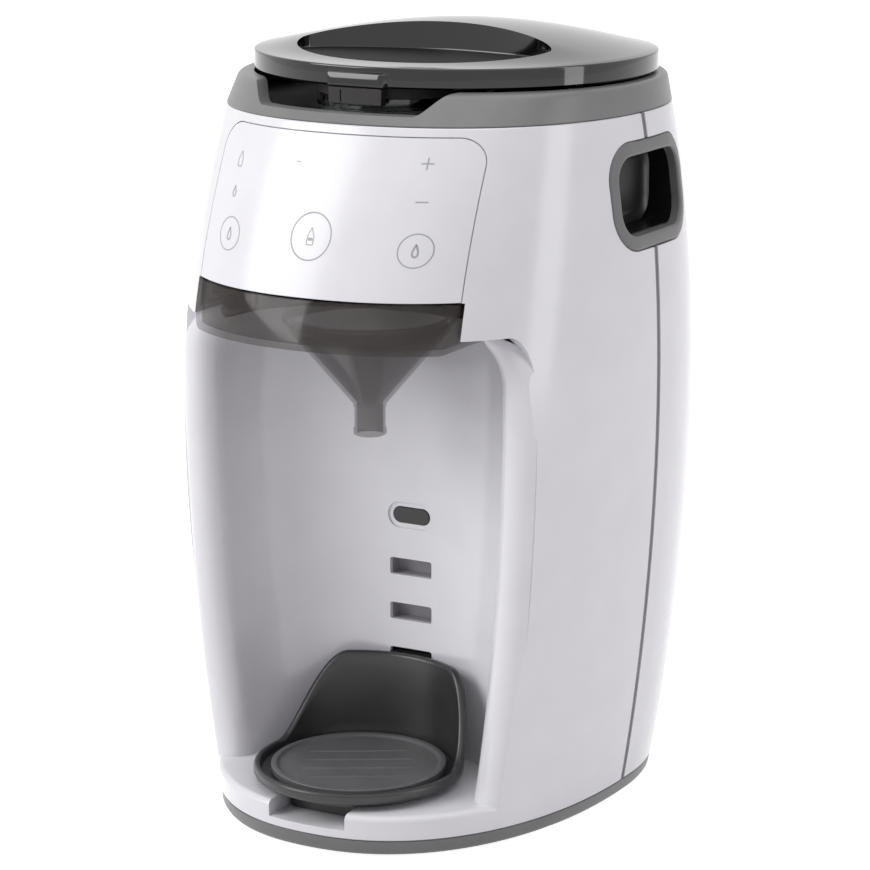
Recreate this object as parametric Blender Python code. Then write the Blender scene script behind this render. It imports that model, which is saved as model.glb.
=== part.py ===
"""Baby formula maker: a counter-top machine that doses powder and warm water into a bottle.

Metres, +Z up, front towards -Y. The body plan is widest at section y = 0, and every
piece hangs under one empty that centres the footprint on the origin.
"""
import math

import bmesh
import bpy
from mathutils import Matrix, Vector

# Driving dimensions of the casing
BODY_HALF_WIDTH = 0.1130
BODY_FRONT_DEPTH = 0.1582
BODY_REAR_DEPTH = 0.1190
BODY_TOP = 0.3350
SECTION_SHARES = (0.0, 0.25, 0.5, 0.75, 1.0)
WIDTH_SHARES = (0.849, 0.950, 1.0, 0.997, 0.916)
FRONT_SHARES = (0.918, 0.962, 1.0, 0.925, 0.701)
REAR_SHARES = (0.818, 0.950, 1.0, 0.966, 0.843)
FRONT_ROUNDNESS = 2.235
REAR_ROUNDNESS = 2.077
PLAN_SEGMENTS = 48
BODY_LEVELS = 9
WALL = 0.0025
GAP = 0.0003
OVERRUN = 0.004
FAR = 0.5

# Base and feet
FOOT_DROP = 0.0015
FOOT_RADIUS = 0.0095
FOOT_INSET = 0.021
FOOT_POCKET = 0.0015
BASE_TOP = 0.0084
BASE_FLOOR = 0.0045
BASE_RIM = 0.0045
BASE_SETBACK = 0.0003
SCREW_RADIUS = 0.0017
SCREW_HEAD_RADIUS = 0.0034
SCREW_HEAD = 0.0018
SCREW_LENGTH = 0.012
BOSS_RADIUS = 0.0045
BOSS_TOP = 0.024
BOSS_INSET = 0.0048

# Seam between the two casings
SEAM_Y = -0.0084
SEAM_WIDTH = 0.0030
SEAM_DEPTH = 0.004

# Dosing deck, which the drawer, the panel and the powder container are set out from
DECK_DROP = 0.0730
DECK_BOTTOM = BODY_TOP - DECK_DROP
DECK_THICK = 0.0025
DECK_SETBACK = 0.0025
DECK_REAR_Y = 0.0040
BAY_CEILING_DROP = 0.0014
BAY_HEIGHT = 0.0233
BAY_TOP = DECK_BOTTOM - BAY_CEILING_DROP
BAY_BOTTOM = BAY_TOP - BAY_HEIGHT

# Alcove where the bottle stands
ALCOVE_FLOOR = 0.0205
ALCOVE_ABOVE_BAY = 0.0067
ALCOVE_CEILING = BAY_BOTTOM + ALCOVE_ABOVE_BAY
ALCOVE_BACK_Y = -0.0445
ALCOVE_MOUTH_Y = -0.0912
ALCOVE_SIDE = 0.0378
ALCOVE_LIP = 0.010
ALCOVE_CORNER = 0.025
ALCOVE_ROUNDNESS = 2.4
ALCOVE_SEGMENTS = 16
LIP_SEGMENTS = 4
LIP_SWEEP = math.radians(151)
NOTCH_HALF = 0.0205
NOTCH_DROP = 0.0075
NOTCH_FLOOR = ALCOVE_FLOOR - NOTCH_DROP

# Slots for the stand's hook and the bottle sensor above them
SLOT_HALF = 0.0115
SLOT_HEIGHT = 0.0084
SLOT_FIRST_RISE = 0.0455
SLOT_FIRST_Z = ALCOVE_FLOOR + SLOT_FIRST_RISE
SLOT_PITCH = 0.0226
SLOT_COUNT = 3
WINDOW_RISE = 0.0259
WINDOW_Z = SLOT_FIRST_Z + (SLOT_COUNT - 1) * SLOT_PITCH + WINDOW_RISE
WINDOW_HALF = 0.0099
WINDOW_HEIGHT = 0.0076
WINDOW_THICK = 0.0040
SENSOR_HALF = 0.014
SENSOR_HEIGHT = 0.014

# Touch panel and its circuit board
PANEL_SPREAD = 0.0001
PANEL_LIFT = 0.0004
PANEL_BOTTOM = BAY_TOP + PANEL_LIFT
PANEL_MARGIN = 0.0044
PANEL_TOP = BODY_TOP - PANEL_MARGIN
PANEL_CORNER = 0.012
PANEL_COLUMNS = 14
PANEL_ROWS = 4
PANEL_THICK = 0.0013
PANEL_BOARD_HALF = 0.050
PANEL_BOARD_SETBACK = 0.0532
PANEL_BOARD_Y = PANEL_BOARD_SETBACK - BODY_FRONT_DEPTH
PANEL_BOARD_HEIGHT = 0.0472
BOARD_THICK = 0.0016

# Funnel drawer, its rails and the funnel
BAY_SIDE = 0.0430
BAY_HALF = BODY_HALF_WIDTH - BAY_SIDE
BAY_REAR_SETBACK = 0.0063
BAY_REAR_Y = ALCOVE_BACK_Y + BAY_REAR_SETBACK
DRAWER_PLAY = 0.0017
DRAWER_HALF = BAY_HALF - DRAWER_PLAY
PANEL_HALF = DRAWER_HALF + PANEL_SPREAD
DRAWER_SLACK = 0.0008
DRAWER_BOTTOM = BAY_BOTTOM + DRAWER_SLACK
DRAWER_TOP = BAY_TOP - DRAWER_SLACK
DRAWER_REAR_Y = BAY_REAR_Y - DRAWER_SLACK
DRAWER_WALL = 0.0023
DRAWER_CORNER = 0.0055
GROOVE_RISE = 0.0099
GROOVE_BOTTOM = DRAWER_BOTTOM + GROOVE_RISE
GROOVE_HEIGHT = 0.0026
GROOVE_DEPTH = 0.0013
GROOVE_FRONT_Y = -0.1100
RAIL_FRONT_Y = -0.1080
RAIL_REAR_Y = -0.0450
RAIL_WEB = 0.0025
FUNNEL_Y = -0.0827
FUNNEL_RIM_WIDTH = 0.0030
FUNNEL_MOUTH_RADIUS = 0.0380
FUNNEL_RIM_RADIUS = FUNNEL_MOUTH_RADIUS + FUNNEL_RIM_WIDTH
FUNNEL_SKIRT = 0.0016
FUNNEL_CONE_TOP = DRAWER_BOTTOM - FUNNEL_SKIRT
FUNNEL_CONE_HEIGHT = 0.0358
FUNNEL_CONE_BOTTOM = FUNNEL_CONE_TOP - FUNNEL_CONE_HEIGHT
NOZZLE_LENGTH = 0.0149
NOZZLE_BOTTOM = FUNNEL_CONE_BOTTOM - NOZZLE_LENGTH
NOZZLE_RADIUS = 0.0078
FUNNEL_WALL = 0.0016
FUNNEL_RIM_THICK = 0.0020

# Bottle stand
STAND_RADIUS = 0.0500
STAND_BEHIND = 0.0008
STAND_Y = ALCOVE_BACK_Y - STAND_BEHIND - STAND_RADIUS
STAND_FOOT_INSET = 0.0080
STAND_FOOT_RADIUS = STAND_RADIUS - STAND_FOOT_INSET
STAND_FOOT_HEIGHT = 0.0035
STAND_FOOT_TOP = ALCOVE_FLOOR + STAND_FOOT_HEIGHT
STAND_RIM_HEIGHT = 0.0055
STAND_RIM_TOP = STAND_FOOT_TOP + STAND_RIM_HEIGHT
STAND_RIM_WALL = 0.0030
STAND_FLOOR_THICK = 0.0010
STAND_FLOOR = STAND_FOOT_TOP + STAND_FLOOR_THICK
STAND_BACK_RISE = 0.0025
STAND_BACK_TOP = SLOT_FIRST_Z + STAND_BACK_RISE
STAND_BACK_FLARE = 0.0035
STAND_BACK_WIDTH = STAND_RADIUS + STAND_BACK_FLARE
STAND_BACK_WALL = 0.0038
STAND_BACK_FULL = math.radians(42)
STAND_BACK_END = math.radians(100)
HOOK_HALF = SLOT_HALF - 2 * GAP
HOOK_HEIGHT = 0.0056
HOOK_REACH = 0.0058
LUG_PLAY = 0.0015
LUG_HALF = NOTCH_HALF - LUG_PLAY
LUG_FRONT = 0.0330
LUG_REAR = 0.0200
DRIP_SETBACK = 0.0082
DRIP_RADIUS = STAND_RADIUS - DRIP_SETBACK
DRIP_HEIGHT = 0.0038
DRIP_TOP = STAND_FLOOR + DRIP_HEIGHT
DRIP_BORDER = 0.0022
DRIP_DISH = 0.0014

# Collar, lid, hinge and latch
COLLAR_HEIGHT = 0.0135
COLLAR_TOP = BODY_TOP + COLLAR_HEIGHT
COLLAR_TAPER = 0.0020
COLLAR_WIDTH = BODY_HALF_WIDTH * WIDTH_SHARES[-1] - COLLAR_TAPER
COLLAR_FRONT_TAPER = 0.0149
COLLAR_FRONT = BODY_FRONT_DEPTH * FRONT_SHARES[-1] - COLLAR_FRONT_TAPER
COLLAR_REAR_TAPER = 0.0043
COLLAR_REAR = BODY_REAR_DEPTH * REAR_SHARES[-1] - COLLAR_REAR_TAPER
COLLAR_WALL = 0.0075
COLLAR_NOTCH_SLOPE = 0.0110
COLLAR_NOTCH_HALF = 0.0410
COLLAR_NOTCH_TOP_HALF = COLLAR_NOTCH_HALF + COLLAR_NOTCH_SLOPE
COLLAR_NOTCH_SILL = 0.0040
COLLAR_NOTCH_Z = BODY_TOP + COLLAR_NOTCH_SILL
LID_SETBACK = 0.0045
LID_WIDTH = COLLAR_WIDTH - LID_SETBACK
LID_FRONT_SETBACK = 0.0020
LID_FRONT = COLLAR_FRONT - LID_FRONT_SETBACK
LID_REAR_SETBACK = 0.0025
LID_REAR = COLLAR_REAR - LID_REAR_SETBACK
LID_SEAT_GAP = 0.0010
LID_BOTTOM = COLLAR_TOP + LID_SEAT_GAP
LID_RIM_HEIGHT = 0.0095
LID_RIM_TOP = LID_BOTTOM + LID_RIM_HEIGHT
LID_CROWN = 0.0155
LID_APEX = LID_RIM_TOP + LID_CROWN
LID_APEX_Y = 0.0100
LID_WALL = 0.0024
LID_CROWN_POWER = 1.15
LID_CROWN_SHARES = (1.0, 0.94, 0.78, 0.56, 0.28)
POCKET_HALF = 0.0620
POCKET_DEEP = 0.0270
POCKET_Y = -0.0400
POCKET_FLOOR_RISE = 0.0080
POCKET_FLOOR = LID_BOTTOM + POCKET_FLOOR_RISE
POCKET_SEGMENTS = 24
TAB_HALF = 0.0150
LATCH_PLAY = 0.0010
TAB_REACH = 0.0022
TAB_HEIGHT = 0.0066
LATCH_HALF = TAB_HALF - LATCH_PLAY
LATCH_HEIGHT = 0.0079
LATCH_BOTTOM = LID_BOTTOM - LATCH_HEIGHT
LATCH_THICK = 0.0055
HINGE_SETOUT = 0.0025
HINGE_Y = COLLAR_REAR + HINGE_SETOUT
HINGE_RISE = 0.0045
HINGE_Z = COLLAR_TOP + HINGE_RISE
KNUCKLE_RADIUS = 0.0032
KNUCKLE_HALF = 0.0200
EAR_WIDTH = 0.0090
PIN_RADIUS = 0.0014
BEZEL_LIFT = 0.0015
BEZEL_BOTTOM = BODY_TOP + BEZEL_LIFT
BEZEL_THICK = 0.0022

# Side grips
GRIP_LENGTH = 0.0760
GRIP_REAR_Y = 0.0330
GRIP_FRONT_Y = GRIP_REAR_Y - GRIP_LENGTH
GRIP_HEIGHT = 0.0500
GRIP_DROP = 0.0120
GRIP_TOP = BODY_TOP - GRIP_DROP
GRIP_BOTTOM = GRIP_TOP - GRIP_HEIGHT
GRIP_CORNER = 0.0190
GRIP_RIM = 0.0068
GRIP_DEPTH = 0.0250
GRIP_FLOOR_X = BODY_HALF_WIDTH - GRIP_DEPTH
GRIP_BACK = 0.0022
GRIP_PROUD = 0.0008
CORNER_SEGMENTS = 4

# Chassis
CHASSIS_SETBACK = 0.0100
CHASSIS_Y = ALCOVE_BACK_Y + CHASSIS_SETBACK
CHASSIS_THICK = 0.0025
CHASSIS_HALF = 0.0600
CRADLE_TOP = 0.1480
CRADLE_THICK = 0.0030
CRADLE_SETBACK = 0.0020
CRADLE_REAR_Y = 0.0780

# Powder container and what turns in it
BIN_Y = -0.0500
BIN_RADIUS = 0.0400
BIN_WALL = 0.0022
BIN_FLOOR_RISE = 0.0110
BIN_FLOOR = DECK_BOTTOM + BIN_FLOOR_RISE
BIN_FLOOR_THICK = 0.0025
BIN_TOP_DROP = 0.0045
BIN_TOP = COLLAR_TOP - BIN_TOP_DROP
CHUTE_RADIUS = 0.0050
CHUTE_WALL = 0.0020
SEAL_WIDTH = 0.0032
DISC_PLAY = 0.0006
DISC_RADIUS = BIN_RADIUS - BIN_WALL - DISC_PLAY
DISC_THICK = 0.0065
DISC_POCKETS = 6
SCRAPER_THICK = 0.0012
SHAFT_RADIUS = 0.0030
SHAFT_PROUD = 0.0040
HUB_RADIUS = 0.0062
AGITATOR_RISE = 0.0022
AGITATOR_BOTTOM = BIN_FLOOR + BIN_FLOOR_THICK + DISC_THICK + SCRAPER_THICK + 2 * GAP + AGITATOR_RISE
AGITATOR_HEIGHT = 0.0160
AGITATOR_TOP = AGITATOR_BOTTOM + AGITATOR_HEIGHT
SHAFT_TOP = AGITATOR_TOP + SHAFT_PROUD
ARM_PLAY = 0.0038
ARM_REACH = BIN_RADIUS - BIN_WALL - ARM_PLAY
ARM_THICK = 0.0030
ARM_COUNT = 3
SCRAPER_INNER = 0.0230
SCRAPER_HALF_ANGLE = math.radians(24)

GEAR_MODULE = 0.0015
GEAR_TEETH = 26
PINION_TEETH = 10
GEAR_RISE = 0.0040
GEAR_BOTTOM = DECK_BOTTOM + GEAR_RISE
GEAR_FACE = 0.0055
TOOTH_SHARE = 0.38
ADDENDUM_SHARE = 0.80
DEDENDUM_SHARE = 1.20
MOTOR_RADIUS = 0.0140
MOTOR_HEIGHT = 0.0400
MOTOR_BOTTOM = DECK_BOTTOM - MOTOR_HEIGHT
PINION_SHAFT_RADIUS = 0.0025
PINION_SHAFT_LENGTH = 0.0100

# Water side
TANK_FRONT_Y = 0.0080
TANK_SETBACK = 0.0120
TANK_HALF = COLLAR_WIDTH - COLLAR_WALL - TANK_SETBACK
CRADLE_HALF = TANK_HALF - CRADLE_SETBACK
TANK_DEPTH = 0.0720
TANK_ROUNDNESS = 3.0
TANK_LIFT = 0.0010
TANK_BOTTOM = CRADLE_TOP + TANK_LIFT
TANK_PROUD = 0.0010
TANK_TOP = BODY_TOP + TANK_PROUD
TANK_WALL = 0.0022
OUTLET_Y = 0.0450
OUTLET_RADIUS = 0.0050
SPIGOT_RADIUS = 0.0090
SPIGOT_LENGTH = 0.0090
VALVE_RADIUS = 0.0075
VALVE_THICK = 0.0020
STEM_RADIUS = 0.0016
STEM_LENGTH = 0.0105
STEM_COLLAR_RADIUS = 0.0048
SPRING_RADIUS = 0.0036
SPRING_WIRE = 0.0005
SPRING_TURNS = 3
PUMP_X = -0.0380
PUMP_Y = 0.0050
PUMP_RADIUS = 0.0165
PUMP_TOP = 0.0620
PORT_RADIUS = 0.0030
PORT_LENGTH = 0.0070
HEATER_CLEAR = 0.0040
HEATER_Z = 0.0380
HEATER_RADIUS = 0.0150
HEATER_HALF = 0.0520
HEATER_FOOT = 0.0060
HOSE_RADIUS = 0.0035
OUTLET_X = 0.0310
OUTLET_NOZZLE_AHEAD = 0.0063
OUTLET_NOZZLE_Y = FUNNEL_Y - OUTLET_NOZZLE_AHEAD
OUTLET_TIP_DROP = 0.0016
OUTLET_TIP = DECK_BOTTOM - OUTLET_TIP_DROP
OUTLET_BLOCK = 0.0045
OUTLET_BORE = 0.0018
HOSE_RISE_X = 0.0720
HOSE_RISE_Y = -0.0040

# Mains side
MAIN_BOARD_SIDE = 0.0430
MAIN_BOARD_X = MAIN_BOARD_SIDE - BODY_HALF_WIDTH
MAIN_BOARD_TOP = 0.1200
MAIN_BOARD_FRONT_Y = -0.0200
MAIN_BOARD_REAR_Y = 0.0380
INLET_X = -0.0400
INLET_Z = 0.0400
INLET_HALF = 0.0140
INLET_HEIGHT = 0.0200
INLET_DEPTH = 0.0400
INLET_WALL = 0.0020
INLET_BACK = 0.0040
HEATER_Y = BODY_REAR_DEPTH - INLET_DEPTH - INLET_BACK - HEATER_CLEAR - HEATER_RADIUS
BLADE_HALF = 0.0012
BLADE_LENGTH = 0.0090
BLADE_PITCH = 0.0070


def share_curve(shares, z):
    """One smooth curve through the section shares at height z."""
    place = min(max(z / BODY_TOP, SECTION_SHARES[0]), SECTION_SHARES[-1])
    total = 0
    for i, share in enumerate(shares):
        weight = 1
        for j, other in enumerate(SECTION_SHARES):
            if j != i:
                weight *= (place - other) / (SECTION_SHARES[i] - other)
        total += share * weight
    return total


def half_width(z):
    return BODY_HALF_WIDTH * share_curve(WIDTH_SHARES, z)


def front_depth(z):
    return BODY_FRONT_DEPTH * share_curve(FRONT_SHARES, z)


def rear_depth(z):
    return BODY_REAR_DEPTH * share_curve(REAR_SHARES, z)


def power(value, exponent):
    return math.copysign(abs(value) ** exponent, value)


def plan_point(angle, width, front, rear):
    """Point of the rounded plan at an angle, with its own front and rear depth."""
    c = math.cos(angle)
    s = math.sin(angle)
    roundness = FRONT_ROUNDNESS if s < 0 else REAR_ROUNDNESS
    depth = front if s < 0 else rear
    return width * power(c, 2 / roundness), depth * power(s, 2 / roundness)


def plan_ring(width, front, rear, z, segments=PLAN_SEGMENTS):
    step = 2 * math.pi / segments
    points = []
    for i in range(segments):
        x, y = plan_point(i * step, width, front, rear)
        points.append(Vector((x, y, z)))
    return points


def body_ring(z, inset=0, segments=PLAN_SEGMENTS):
    return plan_ring(half_width(z) - inset, front_depth(z) - inset, rear_depth(z) - inset, z, segments)


def surface_x(y, z, inset=0):
    """Half width of the casing at section y and height z."""
    depth = (front_depth(z) if y < 0 else rear_depth(z)) - inset
    roundness = FRONT_ROUNDNESS if y < 0 else REAR_ROUNDNESS
    return (half_width(z) - inset) * (1 - abs(y / depth) ** roundness) ** (1 / roundness)


def between(low, high, count):
    return [low + (high - low) * i / count for i in range(count + 1)]


LEVELS = between(BASE_TOP, BODY_TOP, BODY_LEVELS)
MID_Y = (front_depth(DRAWER_BOTTOM) - max(rear_depth(z) for z in LEVELS)) / 2


def clear_scene():
    for old in list(bpy.data.objects):
        bpy.data.objects.remove(old, do_unlink=True)


def make_material(name, colour, roughness, metallic=0.0, alpha=1.0):
    material = bpy.data.materials.new(name)
    material.use_nodes = True
    shader = material.node_tree.nodes["Principled BSDF"]
    shader.inputs["Base Color"].default_value = (*colour, 1.0)
    shader.inputs["Roughness"].default_value = roughness
    shader.inputs["Metallic"].default_value = metallic
    shader.inputs["Alpha"].default_value = alpha
    return material


clear_scene()
WHITE = make_material("gloss_white", (0.78, 0.78, 0.80), 0.18)
GREY = make_material("mid_grey", (0.26, 0.26, 0.26), 0.40)
DARK_GREY = make_material("stand_grey", (0.09, 0.09, 0.09), 0.35)
BLACK = make_material("black_plastic", (0.01, 0.01, 0.01), 0.30)
SMOKE = make_material("smoked_clear", (0.10, 0.08, 0.07), 0.08, alpha=0.6)
LID_BLACK = make_material("lid_black", (0.012, 0.010, 0.010), 0.08)
CLEAR = make_material("clear_plastic", (0.75, 0.80, 0.82), 0.06, alpha=0.4)
RUBBER = make_material("foot_rubber", (0.03, 0.03, 0.03), 0.80)
SILICONE = make_material("hose_silicone", (0.70, 0.70, 0.66), 0.50)
STEEL = make_material("steel", (0.60, 0.60, 0.60), 0.25, metallic=1.0)
BOARD_GREEN = make_material("board_green", (0.02, 0.16, 0.06), 0.50)
NYLON = make_material("gear_nylon", (0.80, 0.78, 0.70), 0.45)

stand_point = bpy.data.objects.new("stand_point", None)
bpy.context.scene.collection.objects.link(stand_point)
stand_point.location = (0, MID_Y, 0)


def new_object(name, bm, material=None, origin=(0, 0, 0)):
    """Object from a bmesh, with its origin moved to the given point."""
    bmesh.ops.recalc_face_normals(bm, faces=bm.faces)
    mesh = bpy.data.meshes.new(name)
    bm.to_mesh(mesh)
    bm.free()
    mesh.transform(Matrix.Translation(-Vector(origin)))
    if material:
        mesh.materials.append(material)
    mesh.shade_smooth()
    mesh.set_sharp_from_angle(angle=math.radians(35))
    obj = bpy.data.objects.new(name, mesh)
    bpy.context.scene.collection.objects.link(obj)
    obj.parent = stand_point
    obj.location = origin
    return obj


def skin(rings):
    """Closed solid through rings of equal length, with flat ends."""
    bm = bmesh.new()
    rows = [[bm.verts.new(p) for p in ring] for ring in rings]
    count = len(rows[0])
    for low, high in zip(rows, rows[1:]):
        for i in range(count):
            j = (i + 1) % count
            bm.faces.new((low[i], low[j], high[j], high[i]))
    bm.faces.new(list(reversed(rows[0])))
    bm.faces.new(rows[-1])
    return bm


def body_solid(inset=0, low=BASE_TOP + GAP, high=BODY_TOP - GAP):
    inner = [z for z in LEVELS if low + WALL < z < high - WALL]
    return skin([body_ring(z, inset) for z in [low] + inner + [high]])


def box(x0, x1, y0, y1, z0, z1):
    corners = ((x0, y0), (x1, y0), (x1, y1), (x0, y1))
    return skin([[Vector((x, y, z)) for x, y in corners] for z in (z0, z1)])


def turned(profile, x, y, segments=24):
    """Closed solid turned about the upright axis at x, y from (radius, height) pairs."""
    rings = []
    step = 2 * math.pi / segments
    for radius, z in profile:
        ring = []
        for i in range(segments):
            ring.append(Vector((x + radius * math.cos(i * step), y + radius * math.sin(i * step), z)))
        rings.append(ring)
    return skin(rings)


def turned_shell(profile, x, y, segments=24):
    """Ring-like solid: a closed (radius, height) outline turned about the upright axis."""
    bm = bmesh.new()
    step = 2 * math.pi / segments
    rows = []
    for i in range(segments):
        c = math.cos(i * step)
        s = math.sin(i * step)
        rows.append([bm.verts.new((x + r * c, y + r * s, z)) for r, z in profile])
    count = len(profile)
    for i in range(segments):
        near = rows[i]
        far = rows[(i + 1) % segments]
        for j in range(count):
            k = (j + 1) % count
            bm.faces.new((near[j], near[k], far[k], far[j]))
    return bm


def along_x(x0, x1, y, z, radius, segments=16):
    step = 2 * math.pi / segments
    rings = []
    for x in (x0, x1):
        ring = []
        for i in range(segments):
            ring.append(Vector((x, y + radius * math.cos(i * step), z + radius * math.sin(i * step))))
        rings.append(ring)
    return skin(rings)


def extruded(points, make, near, far):
    """Solid from a flat outline, carried from near to far by make(u, v, depth)."""
    return skin([[Vector(make(u, v, depth)) for u, v in points] for depth in (near, far)])


def rounded_outline(u0, u1, v0, v1, low_corner, high_corner, segments=CORNER_SEGMENTS):
    """Rectangle with rounded corners; a corner radius of zero stays sharp."""
    points = []
    corners = (
        (u1, v0, low_corner, -math.pi / 2),
        (u1, v1, high_corner, 0),
        (u0, v1, high_corner, math.pi / 2),
        (u0, v0, low_corner, math.pi),
    )
    for u, v, radius, start in corners:
        if not radius:
            points.append((u, v))
            continue
        cu = u - math.copysign(radius, u - (u0 + u1) / 2)
        cv = v - math.copysign(radius, v - (v0 + v1) / 2)
        for i in range(segments + 1):
            angle = start + math.pi / 2 * i / segments
            points.append((cu + radius * math.cos(angle), cv + radius * math.sin(angle)))
    return points


def facing_front(u, v, depth):
    return (u, depth, v)


def facing_side(u, v, depth):
    return (depth, u, v)


def boolean(obj, other, operation="DIFFERENCE"):
    modifier = obj.modifiers.new(other.name, "BOOLEAN")
    modifier.operation = operation
    modifier.object = other
    modifier.solver = "EXACT"
    other.hide_render = True
    other.display_type = "WIRE"


def cut(obj, name, bm):
    cutter = new_object(name, bm)
    boolean(obj, cutter)
    return cutter


def join(obj, name, bm):
    boolean(obj, new_object(name, bm), "UNION")


def keep(obj, name, bm):
    boolean(obj, new_object(name, bm), "INTERSECT")


def inset_place(angle, z, inset):
    """Plan place at an angle, a set distance in from the casing surface."""
    return plan_point(angle, half_width(z) - inset, front_depth(z) - inset, rear_depth(z) - inset)


SIDES = (("left", -1), ("right", 1))
CORNERS = (
    ("front_left", math.radians(228)),
    ("front_right", math.radians(312)),
    ("rear_left", math.radians(138)),
    ("rear_right", math.radians(42)),
)
BOSS_ANGLES = (
    ("front_left", math.radians(204)),
    ("front_right", math.radians(336)),
    ("rear_left", math.radians(122)),
    ("rear_right", math.radians(58)),
)


def make_base():
    """Grey base tray with a raised rim, foot pockets and screw holes, on four rubber feet."""
    low = FOOT_DROP
    ring_low = body_ring(low, BASE_SETBACK + FOOT_DROP)
    ring_mid = body_ring(low + FOOT_DROP, BASE_SETBACK)
    base = new_object("base_plate", skin([ring_low, ring_mid, body_ring(BASE_TOP, BASE_SETBACK)]), GREY)
    inside = skin([body_ring(z, BASE_RIM) for z in (BASE_FLOOR, BASE_TOP + OVERRUN)])
    cut(base, "base_inside", inside)
    for name, angle in CORNERS:
        x, y = inset_place(angle, low, FOOT_INSET)
        pocket = turned(
            ((FOOT_RADIUS + GAP, low - OVERRUN), (FOOT_RADIUS + GAP, low + FOOT_POCKET)), x, y, 16
        )
        cut(base, "pocket_" + name, pocket)
        profile = (
            (FOOT_RADIUS - FOOT_DROP / 2, 0), (FOOT_RADIUS, FOOT_DROP / 2),
            (FOOT_RADIUS, low + FOOT_POCKET - GAP)
        )
        new_object("foot_" + name, turned(profile, x, y, 16), RUBBER)
    for name, angle in BOSS_ANGLES:
        x, y = inset_place(angle, low, BOSS_INSET)
        hole = turned(
            ((SCREW_RADIUS + GAP, low - OVERRUN), (SCREW_RADIUS + GAP, BASE_TOP + OVERRUN)), x, y, 12
        )
        cut(base, "screw_hole_" + name, hole)
        head_room = low + SCREW_HEAD + GAP
        sink = turned(
            ((SCREW_HEAD_RADIUS + GAP, low - OVERRUN), (SCREW_HEAD_RADIUS + GAP, head_room)), x, y, 12
        )
        cut(base, "screw_sink_" + name, sink)
        top = low + SCREW_LENGTH
        rings = (
            (SCREW_HEAD_RADIUS, low), (SCREW_HEAD_RADIUS, low + SCREW_HEAD),
            (SCREW_RADIUS, low + SCREW_HEAD), (SCREW_RADIUS, top)
        )
        new_object("base_screw_" + name, turned(rings, x, y, 12), STEEL)


def alcove_half(z, grow):
    """Half width of the alcove at height z, drawn in under its rounded top corners."""
    width = half_width(z) - ALCOVE_SIDE + grow
    radius = ALCOVE_CORNER
    start = ALCOVE_CEILING + grow - radius
    if z > start:
        rise = min((z - start) / radius, 1)
        width -= radius * (1 - math.sqrt(1 - rise * rise))
    return width


def alcove_section(z, grow):
    """Plan of the alcove: a round back, a rolled lip at each side, open to the front."""
    width = alcove_half(z, grow)
    depth = ALCOVE_BACK_Y + grow - ALCOVE_MOUTH_Y
    lip = ALCOVE_LIP - grow
    points = []
    for i in range(ALCOVE_SEGMENTS + 1):
        angle = math.pi * i / ALCOVE_SEGMENTS
        x = width * power(math.cos(angle), 2 / ALCOVE_ROUNDNESS)
        points.append((x, ALCOVE_MOUTH_Y + depth * math.sin(angle) ** (2 / ALCOVE_ROUNDNESS)))
    lip_points = []
    for i in range(1, LIP_SEGMENTS + 1):
        angle = math.pi + LIP_SWEEP * i / LIP_SEGMENTS
        lip_points.append((width + lip + lip * math.cos(angle), ALCOVE_MOUTH_Y + lip * math.sin(angle)))
    last_x, last_y = lip_points[-1]
    edge = math.pi + LIP_SWEEP
    out = ALCOVE_SIDE
    lip_points.append((last_x + out * math.cos(edge), last_y + out * math.sin(edge)))
    lip_points.append((last_x + out * math.cos(edge), -BODY_FRONT_DEPTH - OVERRUN))
    left = [(-x, y) for x, y in lip_points]
    right = list(reversed(lip_points))
    return [Vector((x, y, z)) for x, y in points + left + right]


def alcove_solid(grow):
    low = ALCOVE_FLOOR - grow
    start = ALCOVE_CEILING + grow - ALCOVE_CORNER
    levels = between(low, start, 5)
    for turn in (0.35, 0.65, 0.88, 1.0):
        levels.append(start + ALCOVE_CORNER * math.sin(turn * math.pi / 2))
    return skin([alcove_section(z, grow) for z in levels])


def panel_outline(spread, bottom):
    return rounded_outline(
        -PANEL_HALF - spread, PANEL_HALF + spread, bottom, PANEL_TOP + spread, 0, PANEL_CORNER + spread
    )


def grip_outline(spread):
    low = GRIP_BOTTOM - spread
    high = GRIP_TOP + spread
    corner = GRIP_CORNER + spread
    return rounded_outline(GRIP_FRONT_Y - spread, GRIP_REAR_Y + spread, low, high, corner, corner)


def cut_grip_openings(casing, name):
    for side, sign in SIDES:
        near = sign * (GRIP_FLOOR_X - GRIP_BACK - GAP)
        opening = extruded(grip_outline(GAP), facing_side, near, sign * (BODY_HALF_WIDTH + OVERRUN))
        cut(casing, name + "_grip_" + side, opening)


def add_bosses(casing, names):
    for name, angle in BOSS_ANGLES:
        if name not in names:
            continue
        x, y = inset_place(angle, FOOT_DROP, BOSS_INSET)
        low = BASE_TOP + GAP
        join(casing, "boss_" + name, turned(((BOSS_RADIUS, low), (BOSS_RADIUS, BOSS_TOP)), x, y, 12))
        hole = ((SCREW_RADIUS + GAP, low - OVERRUN), (SCREW_RADIUS + GAP, FOOT_DROP + SCREW_LENGTH + GAP))
        cut(casing, "boss_hole_" + name, turned(hole, x, y, 12))


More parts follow.
